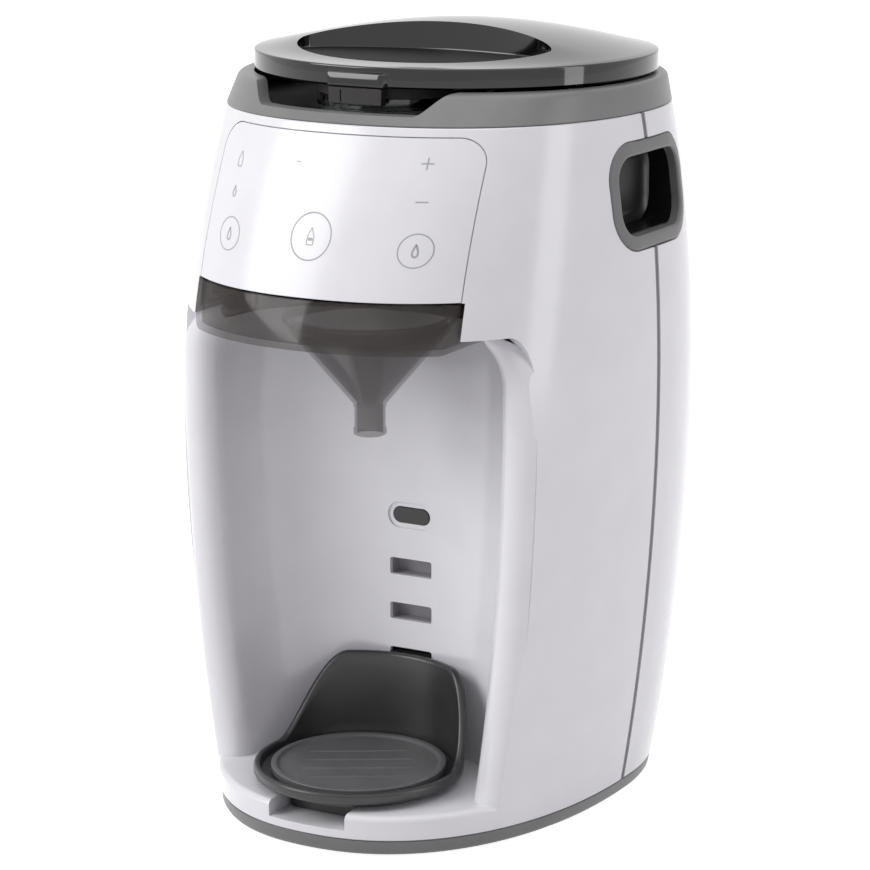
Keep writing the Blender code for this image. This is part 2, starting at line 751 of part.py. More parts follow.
def make_front_casing():
    """White front moulding: outer wall, alcove lining, shelf, panel pocket and drawer opening."""
    casing = new_object("front_casing", body_solid(), WHITE)
    hollow = new_object(
        "front_hollow", skin([body_ring(z, WALL) for z in [-OVERRUN] + LEVELS + [BODY_TOP + OVERRUN]])
    )
    boolean(hollow, new_object("alcove_jacket", alcove_solid(WALL)))
    notch_front = -BODY_FRONT_DEPTH - OVERRUN
    notch_rear = STAND_Y - LUG_REAR
    jacket = box(
        -NOTCH_HALF - WALL, NOTCH_HALF + WALL, notch_front, notch_rear + WALL, NOTCH_FLOOR - WALL,
        ALCOVE_FLOOR
    )
    cut(hollow, "notch_jacket", jacket)
    boolean(casing, hollow)
    cut(casing, "alcove", alcove_solid(0))
    notch = box(-NOTCH_HALF, NOTCH_HALF, notch_front, notch_rear, NOTCH_FLOOR, ALCOVE_FLOOR + OVERRUN)
    cut(casing, "lug_notch", notch)
    split = SEAM_Y - SEAM_WIDTH / 2 - GAP
    cut(casing, "rear_half", box(-FAR, FAR, split, FAR, -FAR, FAR))
    bay = box(-BAY_HALF, BAY_HALF, -FAR, BAY_REAR_Y, BAY_BOTTOM, BAY_TOP)
    cut(casing, "drawer_bay", bay)
    pocket_bottom = BAY_TOP - PANEL_THICK
    pocket = extruded(panel_outline(GAP, pocket_bottom), facing_front, -FAR, ALCOVE_BACK_Y)
    pocket = new_object("panel_pocket", pocket)
    boolean(pocket, new_object("pocket_floor", body_solid(PANEL_THICK + GAP, BAY_BOTTOM, BODY_TOP)))
    boolean(casing, pocket)
    for i in range(SLOT_COUNT):
        middle = SLOT_FIRST_Z + i * SLOT_PITCH
        low = middle - SLOT_HEIGHT / 2
        slot = box(-SLOT_HALF, SLOT_HALF, ALCOVE_BACK_Y - OVERRUN, CHASSIS_Y, low, low + SLOT_HEIGHT)
        cut(casing, "slot_%d" % (i + 1), slot)
    cut(
        casing, "window_hole",
        extruded(window_outline(GAP), facing_front, ALCOVE_BACK_Y - OVERRUN, CHASSIS_Y)
    )
    cut_grip_openings(casing, "front")
    add_bosses(casing, ("front_left", "front_right"))


def make_rear_casing():
    """White rear moulding with the mains opening."""
    casing = new_object("rear_casing", body_solid(), WHITE)
    hollow = skin([body_ring(z, WALL) for z in [-OVERRUN] + LEVELS + [BODY_TOP + OVERRUN]])
    cut(casing, "rear_hollow", hollow)
    split = SEAM_Y + SEAM_WIDTH / 2 + GAP
    cut(casing, "front_half", box(-FAR, FAR, -FAR, split, -FAR, FAR))
    cut_grip_openings(casing, "rear")
    add_bosses(casing, ("rear_left", "rear_right"))
    x0 = INLET_X - INLET_HALF - GAP
    x1 = INLET_X + INLET_HALF + GAP
    z0 = INLET_Z - INLET_HEIGHT / 2 - GAP
    cut(casing, "inlet_opening", box(x0, x1, BODY_REAR_DEPTH / 2, FAR, z0, z0 + INLET_HEIGHT + 2 * GAP))


def make_seam_strips():
    """Grey strip in the seam, below and above each grip."""
    runs = (
        ("lower", BASE_TOP + GAP, GRIP_BOTTOM - 2 * GAP, BODY_LEVELS),
        ("upper", GRIP_TOP + 2 * GAP, BODY_TOP - GAP, 1),
    )
    for side, sign in SIDES:
        for run, low, high, count in runs:
            rings = []
            for z in between(low, high, count):
                outer = surface_x(SEAM_Y, z, GAP)
                inner = outer - SEAM_DEPTH
                ring = []
                for x, y in ((inner, -1), (outer, -1), (outer, 1), (inner, 1)):
                    ring.append(Vector((sign * x, SEAM_Y + y * SEAM_WIDTH / 2, z)))
                rings.append(ring)
            new_object("seam_strip_%s_%s" % (side, run), skin(rings), GREY)


def make_grips():
    """Grey finger cups let into both sides."""
    for side, sign in SIDES:
        back = sign * (GRIP_FLOOR_X - GRIP_BACK)
        grip = new_object("grip_cup_" + side, extruded(grip_outline(0), facing_side, back, sign * FAR), GREY)
        keep(grip, "grip_surface_" + side, body_solid(-GRIP_PROUD, GRIP_BOTTOM - GRIP_RIM, BODY_TOP))
        hollow = extruded(grip_outline(-GRIP_RIM), facing_side, sign * GRIP_FLOOR_X, sign * FAR)
        cut(grip, "grip_hollow_" + side, hollow)


def window_outline(spread):
    half = WINDOW_HALF + spread
    high = WINDOW_HEIGHT / 2 + spread
    return rounded_outline(-half, half, WINDOW_Z - high, WINDOW_Z + high, high, high)


def make_sensor():
    front = ALCOVE_BACK_Y + GAP
    window = extruded(window_outline(0), facing_front, front, front + WINDOW_THICK)
    new_object("sensor_window", window, BLACK)
    near = front + WINDOW_THICK + GAP
    far = CHASSIS_Y - GAP
    low = WINDOW_Z - SENSOR_HEIGHT / 2
    module = box(-SENSOR_HALF, SENSOR_HALF, near, far, low, low + SENSOR_HEIGHT)
    new_object("sensor_module", module, BOARD_GREEN)


def surface_y(x, z):
    """Front of the casing at half width x and height z."""
    share = min(abs(x) / half_width(z), 1)
    return -front_depth(z) * (1 - share ** FRONT_ROUNDNESS) ** (1 / FRONT_ROUNDNESS)


def panel_row(z, depth):
    """One row of panel points at height z, set back from the casing surface."""
    low = PANEL_TOP - PANEL_CORNER
    rise = max(z - low, 0)
    half = PANEL_HALF - PANEL_CORNER + math.sqrt(max(PANEL_CORNER ** 2 - rise ** 2, 0))
    points = []
    for i in range(PANEL_COLUMNS + 1):
        x = half * (2 * i / PANEL_COLUMNS - 1)
        points.append(Vector((x, surface_y(x, z) + depth, z)))
    return points


def make_panel():
    """Curved touch panel flush in its pocket, and the board behind it."""
    low = PANEL_TOP - PANEL_CORNER
    levels = between(PANEL_BOTTOM, low, PANEL_ROWS)
    for turn in between(0, math.pi / 2, CORNER_SEGMENTS)[1:]:
        levels.append(low + PANEL_CORNER * math.sin(turn))
    rings = []
    for z in levels:
        front = panel_row(z, 0)
        rings.append(front + list(reversed(panel_row(z, PANEL_THICK))))
    new_object("touch_panel", skin(rings), WHITE)
    low = DECK_BOTTOM + DECK_THICK + GAP
    rear = PANEL_BOARD_Y + BOARD_THICK
    board = box(-PANEL_BOARD_HALF, PANEL_BOARD_HALF, PANEL_BOARD_Y, rear, low, low + PANEL_BOARD_HEIGHT)
    new_object("panel_board", board, BOARD_GREEN)


def make_drawer():
    """Smoked drawer that carries the funnel, and the two rails it runs on."""
    outline = rounded_outline(-DRAWER_HALF, DRAWER_HALF, DRAWER_BOTTOM, DRAWER_TOP, DRAWER_CORNER, 0)
    origin = (0, DRAWER_REAR_Y, DRAWER_BOTTOM)
    drawer = new_object("funnel_drawer", extruded(outline, facing_front, -FAR, DRAWER_REAR_Y), SMOKE, origin)
    keep(drawer, "drawer_face", body_solid(0, BAY_BOTTOM - OVERRUN, BODY_TOP))
    half = DRAWER_HALF - DRAWER_WALL
    floor = DRAWER_BOTTOM + DRAWER_WALL
    cavity = new_object("drawer_cavity", box(-half, half, -FAR, DRAWER_REAR_Y - DRAWER_WALL, floor, BODY_TOP))
    keep(cavity, "drawer_lining", body_solid(DRAWER_WALL, BAY_BOTTOM - OVERRUN, BODY_TOP - OVERRUN))
    boolean(drawer, cavity)
    hole = FUNNEL_MOUTH_RADIUS + 2 * GAP
    cut(
        drawer, "funnel_hole",
        turned(((hole, BAY_BOTTOM - OVERRUN), (hole, floor + OVERRUN)), 0, FUNNEL_Y, 32)
    )
    tongue_low = GROOVE_BOTTOM + GAP
    tongue_high = GROOVE_BOTTOM + GROOVE_HEIGHT - GAP
    for side, sign in SIDES:
        inner = sign * (DRAWER_HALF - GROOVE_DEPTH)
        groove = box(
            inner, sign * BODY_HALF_WIDTH, GROOVE_FRONT_Y, 0, GROOVE_BOTTOM, GROOVE_BOTTOM + GROOVE_HEIGHT
        )
        cut(drawer, "groove_" + side, groove)
        web_x = sign * (BAY_HALF + RAIL_WEB)
        tongue_x = sign * (DRAWER_HALF - GROOVE_DEPTH + GAP)
        web_near = sign * BAY_HALF
        points = (
            (tongue_x, tongue_low),
            (web_x, tongue_low),
            (web_x, DECK_BOTTOM - GAP),
            (web_near, DECK_BOTTOM - GAP),
            (web_near, tongue_high),
            (tongue_x, tongue_high),
        )
        new_object("drawer_rail_" + side, extruded(points, facing_front, RAIL_FRONT_Y, RAIL_REAR_Y), NYLON)


def make_funnel():
    """Smoked funnel hung by its flange in the drawer floor."""
    flange_low = DRAWER_BOTTOM + DRAWER_WALL + GAP
    flange_top = flange_low + FUNNEL_RIM_THICK
    wall = FUNNEL_WALL
    throat = NOZZLE_RADIUS - wall
    profile = (
        (NOZZLE_RADIUS - wall / 2, NOZZLE_BOTTOM),
        (NOZZLE_RADIUS, NOZZLE_BOTTOM + wall / 2),
        (NOZZLE_RADIUS, FUNNEL_CONE_BOTTOM),
        (FUNNEL_MOUTH_RADIUS, FUNNEL_CONE_TOP),
        (FUNNEL_MOUTH_RADIUS, flange_low),
        (FUNNEL_RIM_RADIUS, flange_low),
        (FUNNEL_RIM_RADIUS, flange_top),
        (FUNNEL_MOUTH_RADIUS - wall, flange_top),
        (FUNNEL_MOUTH_RADIUS - wall, FUNNEL_CONE_TOP + wall / 2),
        (throat, FUNNEL_CONE_BOTTOM + wall / 2),
        (throat, NOZZLE_BOTTOM),
    )
    new_object("funnel", turned_shell(profile, 0, FUNNEL_Y, 32), SMOKE, (0, FUNNEL_Y, flange_low))


def back_height(angle):
    """Top of the stand's wall at an angle from the rear: full behind, rim height in front."""
    turn = abs(angle)
    if turn <= STAND_BACK_FULL:
        return STAND_BACK_TOP
    if turn >= STAND_BACK_END:
        return STAND_RIM_TOP
    share = (turn - STAND_BACK_FULL) / (STAND_BACK_END - STAND_BACK_FULL)
    fall = share * share * (3 - 2 * share)
    return STAND_BACK_TOP + (STAND_RIM_TOP - STAND_BACK_TOP) * fall


def make_stand():
    """Round bottle stand: a dish with a high curved back, a hook behind and a lug in front."""
    bm = bmesh.new()
    segments = 48
    rows = []
    for i in range(segments):
        angle = 2 * math.pi * i / segments
        turn = (angle + math.pi) % (2 * math.pi) - math.pi
        top = back_height(turn)
        lift = (top - STAND_RIM_TOP) / (STAND_BACK_TOP - STAND_RIM_TOP)
        wide = STAND_RADIUS + (STAND_BACK_WIDTH - STAND_RADIUS) * lift
        s = math.sin(angle)
        c = math.cos(angle)
        wall = STAND_RIM_WALL + (STAND_BACK_WALL - STAND_RIM_WALL) * lift
        loop = (
            (STAND_FOOT_RADIUS, STAND_FOOT_RADIUS, ALCOVE_FLOOR + GAP),
            (STAND_FOOT_RADIUS, STAND_FOOT_RADIUS, STAND_FOOT_TOP),
            (STAND_RADIUS, STAND_RADIUS, STAND_FOOT_TOP),
            (wide, STAND_RADIUS, top),
            (wide - wall, STAND_RADIUS - wall, top),
            (STAND_RADIUS - STAND_RIM_WALL, STAND_RADIUS - STAND_RIM_WALL, STAND_FLOOR + STAND_RIM_WALL / 2),
            (DRIP_RADIUS + GAP, DRIP_RADIUS + GAP, STAND_FLOOR),
        )
        rows.append([bm.verts.new((rx * s, STAND_Y + ry * c, z)) for rx, ry, z in loop])
    for i in range(segments):
        near = rows[i]
        far = rows[(i + 1) % segments]
        for j in range(len(near) - 1):
            bm.faces.new((near[j], near[j + 1], far[j + 1], far[j]))
    bm.faces.new([row[0] for row in rows])
    bm.faces.new([row[-1] for row in reversed(rows)])
    origin = (0, STAND_Y, ALCOVE_FLOOR)
    stand = new_object("bottle_stand", bm, DARK_GREY, origin)
    hook_z = SLOT_FIRST_Z - SLOT_HEIGHT / 2 + 2 * GAP
    rear = STAND_Y + STAND_RADIUS
    near = rear - STAND_BACK_WALL / 2
    hook = box(-HOOK_HALF, HOOK_HALF, near, rear + HOOK_REACH, hook_z, hook_z + HOOK_HEIGHT)
    join(stand, "stand_hook", hook)
    lug_low = NOTCH_FLOOR + GAP
    join(
        stand, "stand_lug",
        box(-LUG_HALF, LUG_HALF, STAND_Y - LUG_FRONT, STAND_Y - LUG_REAR - GAP, lug_low, STAND_FOOT_TOP)
    )
    drip = (
        (DRIP_RADIUS, STAND_FLOOR + GAP),
        (DRIP_RADIUS, DRIP_TOP),
        (DRIP_RADIUS - DRIP_BORDER, DRIP_TOP),
        (DRIP_RADIUS - 2 * DRIP_BORDER, DRIP_TOP - DRIP_DISH),
    )
    new_object("drip_plate", turned(drip, 0, STAND_Y, 40), DARK_GREY, (0, STAND_Y, STAND_FLOOR))


def collar_ring(z, inset):
    """Collar plan: the casing's own plan below, drawn in towards its top edge."""
    share = (z - BODY_TOP) / (COLLAR_TOP - BODY_TOP)
    width = half_width(BODY_TOP) + (COLLAR_WIDTH - half_width(BODY_TOP)) * share
    front = front_depth(BODY_TOP) + (COLLAR_FRONT - front_depth(BODY_TOP)) * share
    rear = rear_depth(BODY_TOP) + (COLLAR_REAR - rear_depth(BODY_TOP)) * share
    return plan_ring(width - inset, front - inset, rear - inset, z)


def make_collar():
    """Grey collar on top of both casings, with a finger notch and two hinge ears."""
    edge = 0.5 * WALL
    rings = [collar_ring(BODY_TOP, 0), collar_ring(COLLAR_TOP - edge, 0), collar_ring(COLLAR_TOP, edge)]
    collar = new_object("top_collar", skin(rings), GREY)
    for side, sign in SIDES:
        near = sign * (KNUCKLE_HALF + GAP)
        far = sign * (KNUCKLE_HALF + EAR_WIDTH)
        join(collar, "ear_round_" + side, along_x(near, far, HINGE_Y, HINGE_Z, KNUCKLE_RADIUS))
        low = BODY_TOP + WALL
        foot = box(near, far, HINGE_Y - 2 * KNUCKLE_RADIUS, HINGE_Y, low, HINGE_Z - KNUCKLE_RADIUS / 2)
        join(collar, "ear_foot_" + side, foot)
    inside = [
        collar_ring(BODY_TOP - OVERRUN, COLLAR_WALL),
        collar_ring(COLLAR_TOP + OVERRUN, COLLAR_WALL),
    ]
    cut(collar, "collar_inside", skin(inside))
    notch = (
        (-COLLAR_NOTCH_HALF, COLLAR_NOTCH_Z),
        (COLLAR_NOTCH_HALF, COLLAR_NOTCH_Z),
        (COLLAR_NOTCH_TOP_HALF, COLLAR_TOP + OVERRUN),
        (-COLLAR_NOTCH_TOP_HALF, COLLAR_TOP + OVERRUN),
    )
    cut(collar, "finger_notch", extruded(notch, facing_front, -FAR, -COLLAR_FRONT / 2))
    cut(
        collar, "ear_bore",
        along_x(-BODY_HALF_WIDTH, BODY_HALF_WIDTH, HINGE_Y, HINGE_Z, PIN_RADIUS + GAP, 12)
    )
    clearance = KNUCKLE_RADIUS + 2 * GAP
    cut(
        collar, "knuckle_room",
        along_x(-KNUCKLE_HALF - GAP / 2, KNUCKLE_HALF + GAP / 2, HINGE_Y, HINGE_Z, clearance)
    )


def dome_height(share):
    return LID_RIM_TOP + (LID_APEX - LID_RIM_TOP) * (1 - share * share) ** LID_CROWN_POWER


def lid_solid(inset, low):
    """Domed solid of the lid, its crown set back from the middle."""
    width = LID_WIDTH - inset
    front = LID_FRONT - inset
    rear = LID_REAR - inset
    rings = [plan_ring(width, front, rear, low)]
    for share in LID_CROWN_SHARES:
        ring = plan_ring(width * share, front * share, rear * share, dome_height(share) - inset)
        shift = LID_APEX_Y * (1 - share)
        rings.append([point + Vector((0, shift, 0)) for point in ring])
    return skin(rings)


def pocket_solid(spread, low):
    """Finger pocket of the lid: an oval shaft with a flat floor."""
    rings = []
    for z in (low, LID_APEX + OVERRUN):
        ring = []
        for i in range(POCKET_SEGMENTS):
            angle = 2 * math.pi * i / POCKET_SEGMENTS
            x = (POCKET_HALF + spread) * math.cos(angle)
            ring.append(Vector((x, POCKET_Y + (POCKET_DEEP + spread) * math.sin(angle), z)))
        rings.append(ring)
    return skin(rings)


def make_lid():
    """Black domed lid with a finger pocket, a pull tab and a hinge knuckle."""
    origin = (0, HINGE_Y, HINGE_Z)
    lid = new_object("lid", lid_solid(0, LID_BOTTOM), LID_BLACK, origin)
    tab_rear = -LID_FRONT + LID_WALL
    tab = box(
        -TAB_HALF, TAB_HALF, -LID_FRONT - TAB_REACH, tab_rear, LID_BOTTOM + GAP, LID_BOTTOM + TAB_HEIGHT
    )
    join(lid, "lid_tab", tab)
    knuckle_x = KNUCKLE_HALF - GAP
    join(lid, "knuckle", along_x(-knuckle_x, knuckle_x, HINGE_Y, HINGE_Z, KNUCKLE_RADIUS))
    link = box(
        -knuckle_x, knuckle_x, LID_REAR - 2 * LID_WALL, HINGE_Y, HINGE_Z - KNUCKLE_RADIUS / 2,
        HINGE_Z + KNUCKLE_RADIUS
    )
    join(lid, "knuckle_link", link)
    inside = new_object("lid_inside", lid_solid(LID_WALL, LID_BOTTOM - OVERRUN))
    cut(inside, "pocket_jacket", pocket_solid(LID_WALL, POCKET_FLOOR - LID_WALL))
    boolean(lid, inside)
    cut(lid, "finger_pocket", pocket_solid(0, POCKET_FLOOR))
    cut(lid, "knuckle_bore", along_x(-KNUCKLE_HALF, KNUCKLE_HALF, HINGE_Y, HINGE_Z, PIN_RADIUS + GAP, 12))
    for side, sign in SIDES:
        near = sign * KNUCKLE_HALF
        far = sign * (KNUCKLE_HALF + EAR_WIDTH + 2 * GAP)
        room = HINGE_Y - 2 * KNUCKLE_RADIUS - GAP
        cut(lid, "ear_room_" + side, box(near, far, room, FAR, 0, HINGE_Z + 2 * KNUCKLE_RADIUS))
    reach = KNUCKLE_HALF + EAR_WIDTH
    new_object("hinge_pin", along_x(-reach, reach, HINGE_Y, HINGE_Z, PIN_RADIUS, 12), STEEL)
    low = BIN_TOP + GAP
    middle = BIN_RADIUS - BIN_WALL / 2
    high = POCKET_FLOOR - LID_WALL - GAP
    ring = (
        (middle - SEAL_WIDTH / 2, low),
        (middle + SEAL_WIDTH / 2, low),
        (middle + SEAL_WIDTH / 2, high),
        (middle - SEAL_WIDTH / 2, high),
    )
    new_object("lid_seal", turned_shell(ring, 0, BIN_Y, 32), SILICONE)
    front = -LID_FRONT - TAB_REACH
    latch = box(-LATCH_HALF, LATCH_HALF, front, front + LATCH_THICK, LATCH_BOTTOM, LID_BOTTOM)
    new_object("lid_latch", latch, SMOKE)


def make_bezel():
    """Dark inner cover round the powder container and the tank, under the lid."""
    inset = COLLAR_WALL + 2 * GAP
    top = BEZEL_BOTTOM + BEZEL_THICK
    rings = [collar_ring(BEZEL_BOTTOM, inset), collar_ring(top, inset)]
    bezel = new_object("inner_bezel", skin(rings), BLACK)
    hole = BIN_RADIUS + 2 * GAP
    cut(bezel, "bin_hole", turned(((hole, BEZEL_BOTTOM - OVERRUN), (hole, top + OVERRUN)), 0, BIN_Y, 32))
    cut(bezel, "tank_hole", tank_solid(-2 * GAP, BEZEL_BOTTOM - OVERRUN, top + OVERRUN))


def tank_solid(inset, low, high):
    points = []
    segments = 24
    for i in range(segments + 1):
        angle = math.pi * i / segments
        x = (TANK_HALF - inset) * power(math.cos(angle), 2 / TANK_ROUNDNESS)
        reach = (TANK_DEPTH - 2 * inset) * math.sin(angle) ** (2 / TANK_ROUNDNESS)
        points.append((x, TANK_FRONT_Y + inset + reach))
    return skin([[Vector((x, y, z)) for x, y in points] for z in (low, high)])


def make_tank():
    """Clear water tank on its cradle, with a sprung outlet valve."""
    tank = new_object("water_tank", tank_solid(0, TANK_BOTTOM, TANK_TOP), CLEAR)
    floor = TANK_BOTTOM + TANK_WALL
    spigot_low = TANK_BOTTOM - SPIGOT_LENGTH
    join(
        tank, "spigot",
        turned(((SPIGOT_RADIUS, spigot_low), (SPIGOT_RADIUS, TANK_BOTTOM + TANK_WALL / 2)), 0, OUTLET_Y, 20)
    )
    cut(tank, "tank_inside", tank_solid(TANK_WALL, floor, TANK_TOP + OVERRUN))
    bore = SPIGOT_RADIUS - TANK_WALL
    cut(tank, "spigot_bore", turned(((bore, spigot_low - OVERRUN), (bore, TANK_BOTTOM)), 0, OUTLET_Y, 20))
    hole = OUTLET_RADIUS
    cut(tank, "outlet_hole", turned(((hole, spigot_low - OVERRUN), (hole, floor + OVERRUN)), 0, OUTLET_Y, 20))
    disc_low = floor + GAP
    stem_low = disc_low - STEM_LENGTH
    collar_top = stem_low + VALVE_THICK
    profile = (
        (STEM_COLLAR_RADIUS, stem_low),
        (STEM_COLLAR_RADIUS, collar_top),
        (STEM_RADIUS, collar_top),
        (STEM_RADIUS, disc_low),
        (VALVE_RADIUS, disc_low),
        (VALVE_RADIUS, disc_low + VALVE_THICK),
    )
    new_object("tank_valve", turned(profile, 0, OUTLET_Y, 16), SILICONE, (0, OUTLET_Y, disc_low))
    rise = TANK_BOTTOM - GAP - SPRING_WIRE - (collar_top + GAP + SPRING_WIRE)
    make_spring("valve_spring", SPRING_RADIUS, collar_top + GAP + SPRING_WIRE, rise)


def make_spring(name, radius, low, rise):
    """Open coil spring about the valve stem."""
    curve = bpy.data.curves.new(name, "CURVE")
    curve.dimensions = "3D"
    curve.bevel_depth = SPRING_WIRE
    curve.bevel_resolution = 1
    curve.use_fill_caps = True
    spline = curve.splines.new("POLY")
    per_turn = 10
    count = SPRING_TURNS * per_turn
    spline.points.add(count)
    for i in range(count + 1):
        angle = 2 * math.pi * i / per_turn
        x = radius * math.cos(angle)
        spline.points[i].co = (x, OUTLET_Y + radius * math.sin(angle), low + rise * i / count, 1)
    curve.materials.append(STEEL)
    spring = bpy.data.objects.new(name, curve)
    bpy.context.scene.collection.objects.link(spring)
    spring.parent = stand_point


def make_chassis():
    """Frame: an upright behind the alcove, with the tank cradle; the dosing deck sits on it."""
    top = DECK_BOTTOM - GAP
    rear = CHASSIS_Y + CHASSIS_THICK
    low = BASE_FLOOR + GAP
    chassis = new_object("chassis", box(-CHASSIS_HALF, CHASSIS_HALF, CHASSIS_Y, rear, low, top), BLACK)
    cradle_low = CRADLE_TOP - CRADLE_THICK
    front_shelf = box(
        -CHASSIS_HALF, CHASSIS_HALF, rear - CHASSIS_THICK / 2, TANK_FRONT_Y + WALL, cradle_low, CRADLE_TOP
    )
    join(chassis, "front_shelf", front_shelf)
    shelf = box(-CRADLE_HALF, CRADLE_HALF, TANK_FRONT_Y, CRADLE_REAR_Y, cradle_low, CRADLE_TOP)
    join(chassis, "tank_shelf", shelf)
    for side, sign in SIDES:
        near = sign * (CHASSIS_HALF - CHASSIS_THICK)
        far = sign * CHASSIS_HALF
        rib = box(
            near, far, rear - CHASSIS_THICK / 2, CRADLE_REAR_Y / 2, cradle_low - CRADLE_HALF / 2,
            cradle_low + CRADLE_THICK / 2
        )
        join(chassis, "rib_" + side, rib)
    hole = SPIGOT_RADIUS + GAP
    cut(
        chassis, "spigot_hole",
        turned(((hole, cradle_low - OVERRUN), (hole, CRADLE_TOP + OVERRUN)), 0, OUTLET_Y, 20)
    )
    room = MOTOR_RADIUS + 2 * GAP
    cut(
        chassis, "motor_room",
        box(-room, room, CHASSIS_Y - OVERRUN, rear + OVERRUN, MOTOR_BOTTOM - OVERRUN, FAR)
    )


def make_deck():
    high = DECK_BOTTOM + DECK_THICK
    rings = [body_ring(z, WALL + DECK_SETBACK) for z in (DECK_BOTTOM, high)]
    deck = new_object("dosing_deck", skin(rings), BLACK)
    cut(deck, "deck_rear", box(-FAR, FAR, DECK_REAR_Y, FAR, 0, FAR))
    holes = (
        ("chute_hole", CHUTE_RADIUS + CHUTE_WALL + GAP, 0, FUNNEL_Y),
        ("gear_pin_hole", SHAFT_RADIUS + GAP, 0, BIN_Y),
        ("pinion_hole", PINION_SHAFT_RADIUS + 2 * GAP, 0, pinion_y()),
        ("water_hole", OUTLET_BLOCK - GAP, OUTLET_X, OUTLET_NOZZLE_Y),
        ("hose_hole", HOSE_RADIUS + 6 * GAP, HOSE_RISE_X, HOSE_RISE_Y),
    )
    for name, radius, x, y in holes:
        cut(deck, name, turned(((radius, DECK_BOTTOM - OVERRUN), (radius, high + OVERRUN)), x, y, 16))


def pinion_y():
    return BIN_Y + GEAR_MODULE * (GEAR_TEETH + PINION_TEETH) / 2


def gear_outline(teeth, y, first):
    """Outline of a straight-flanked gear, with one tooth centred on the first angle."""
    pitch = GEAR_MODULE * teeth / 2
    tip = pitch + GEAR_MODULE * ADDENDUM_SHARE
    root = pitch - GEAR_MODULE * DEDENDUM_SHARE
    points = []
    step = 2 * math.pi / teeth
    for i in range(teeth):
        middle = first + i * step
        wide = step * TOOTH_SHARE
        for radius, turn in (
            (root, -wide * 0.75), (tip, -wide * 0.3), (tip, wide * 0.3), (root, wide * 0.75)
        ):
            points.append((radius * math.cos(middle + turn), y + radius * math.sin(middle + turn)))
    return points


def flat_up(u, v, depth):
    return (u, v, depth)


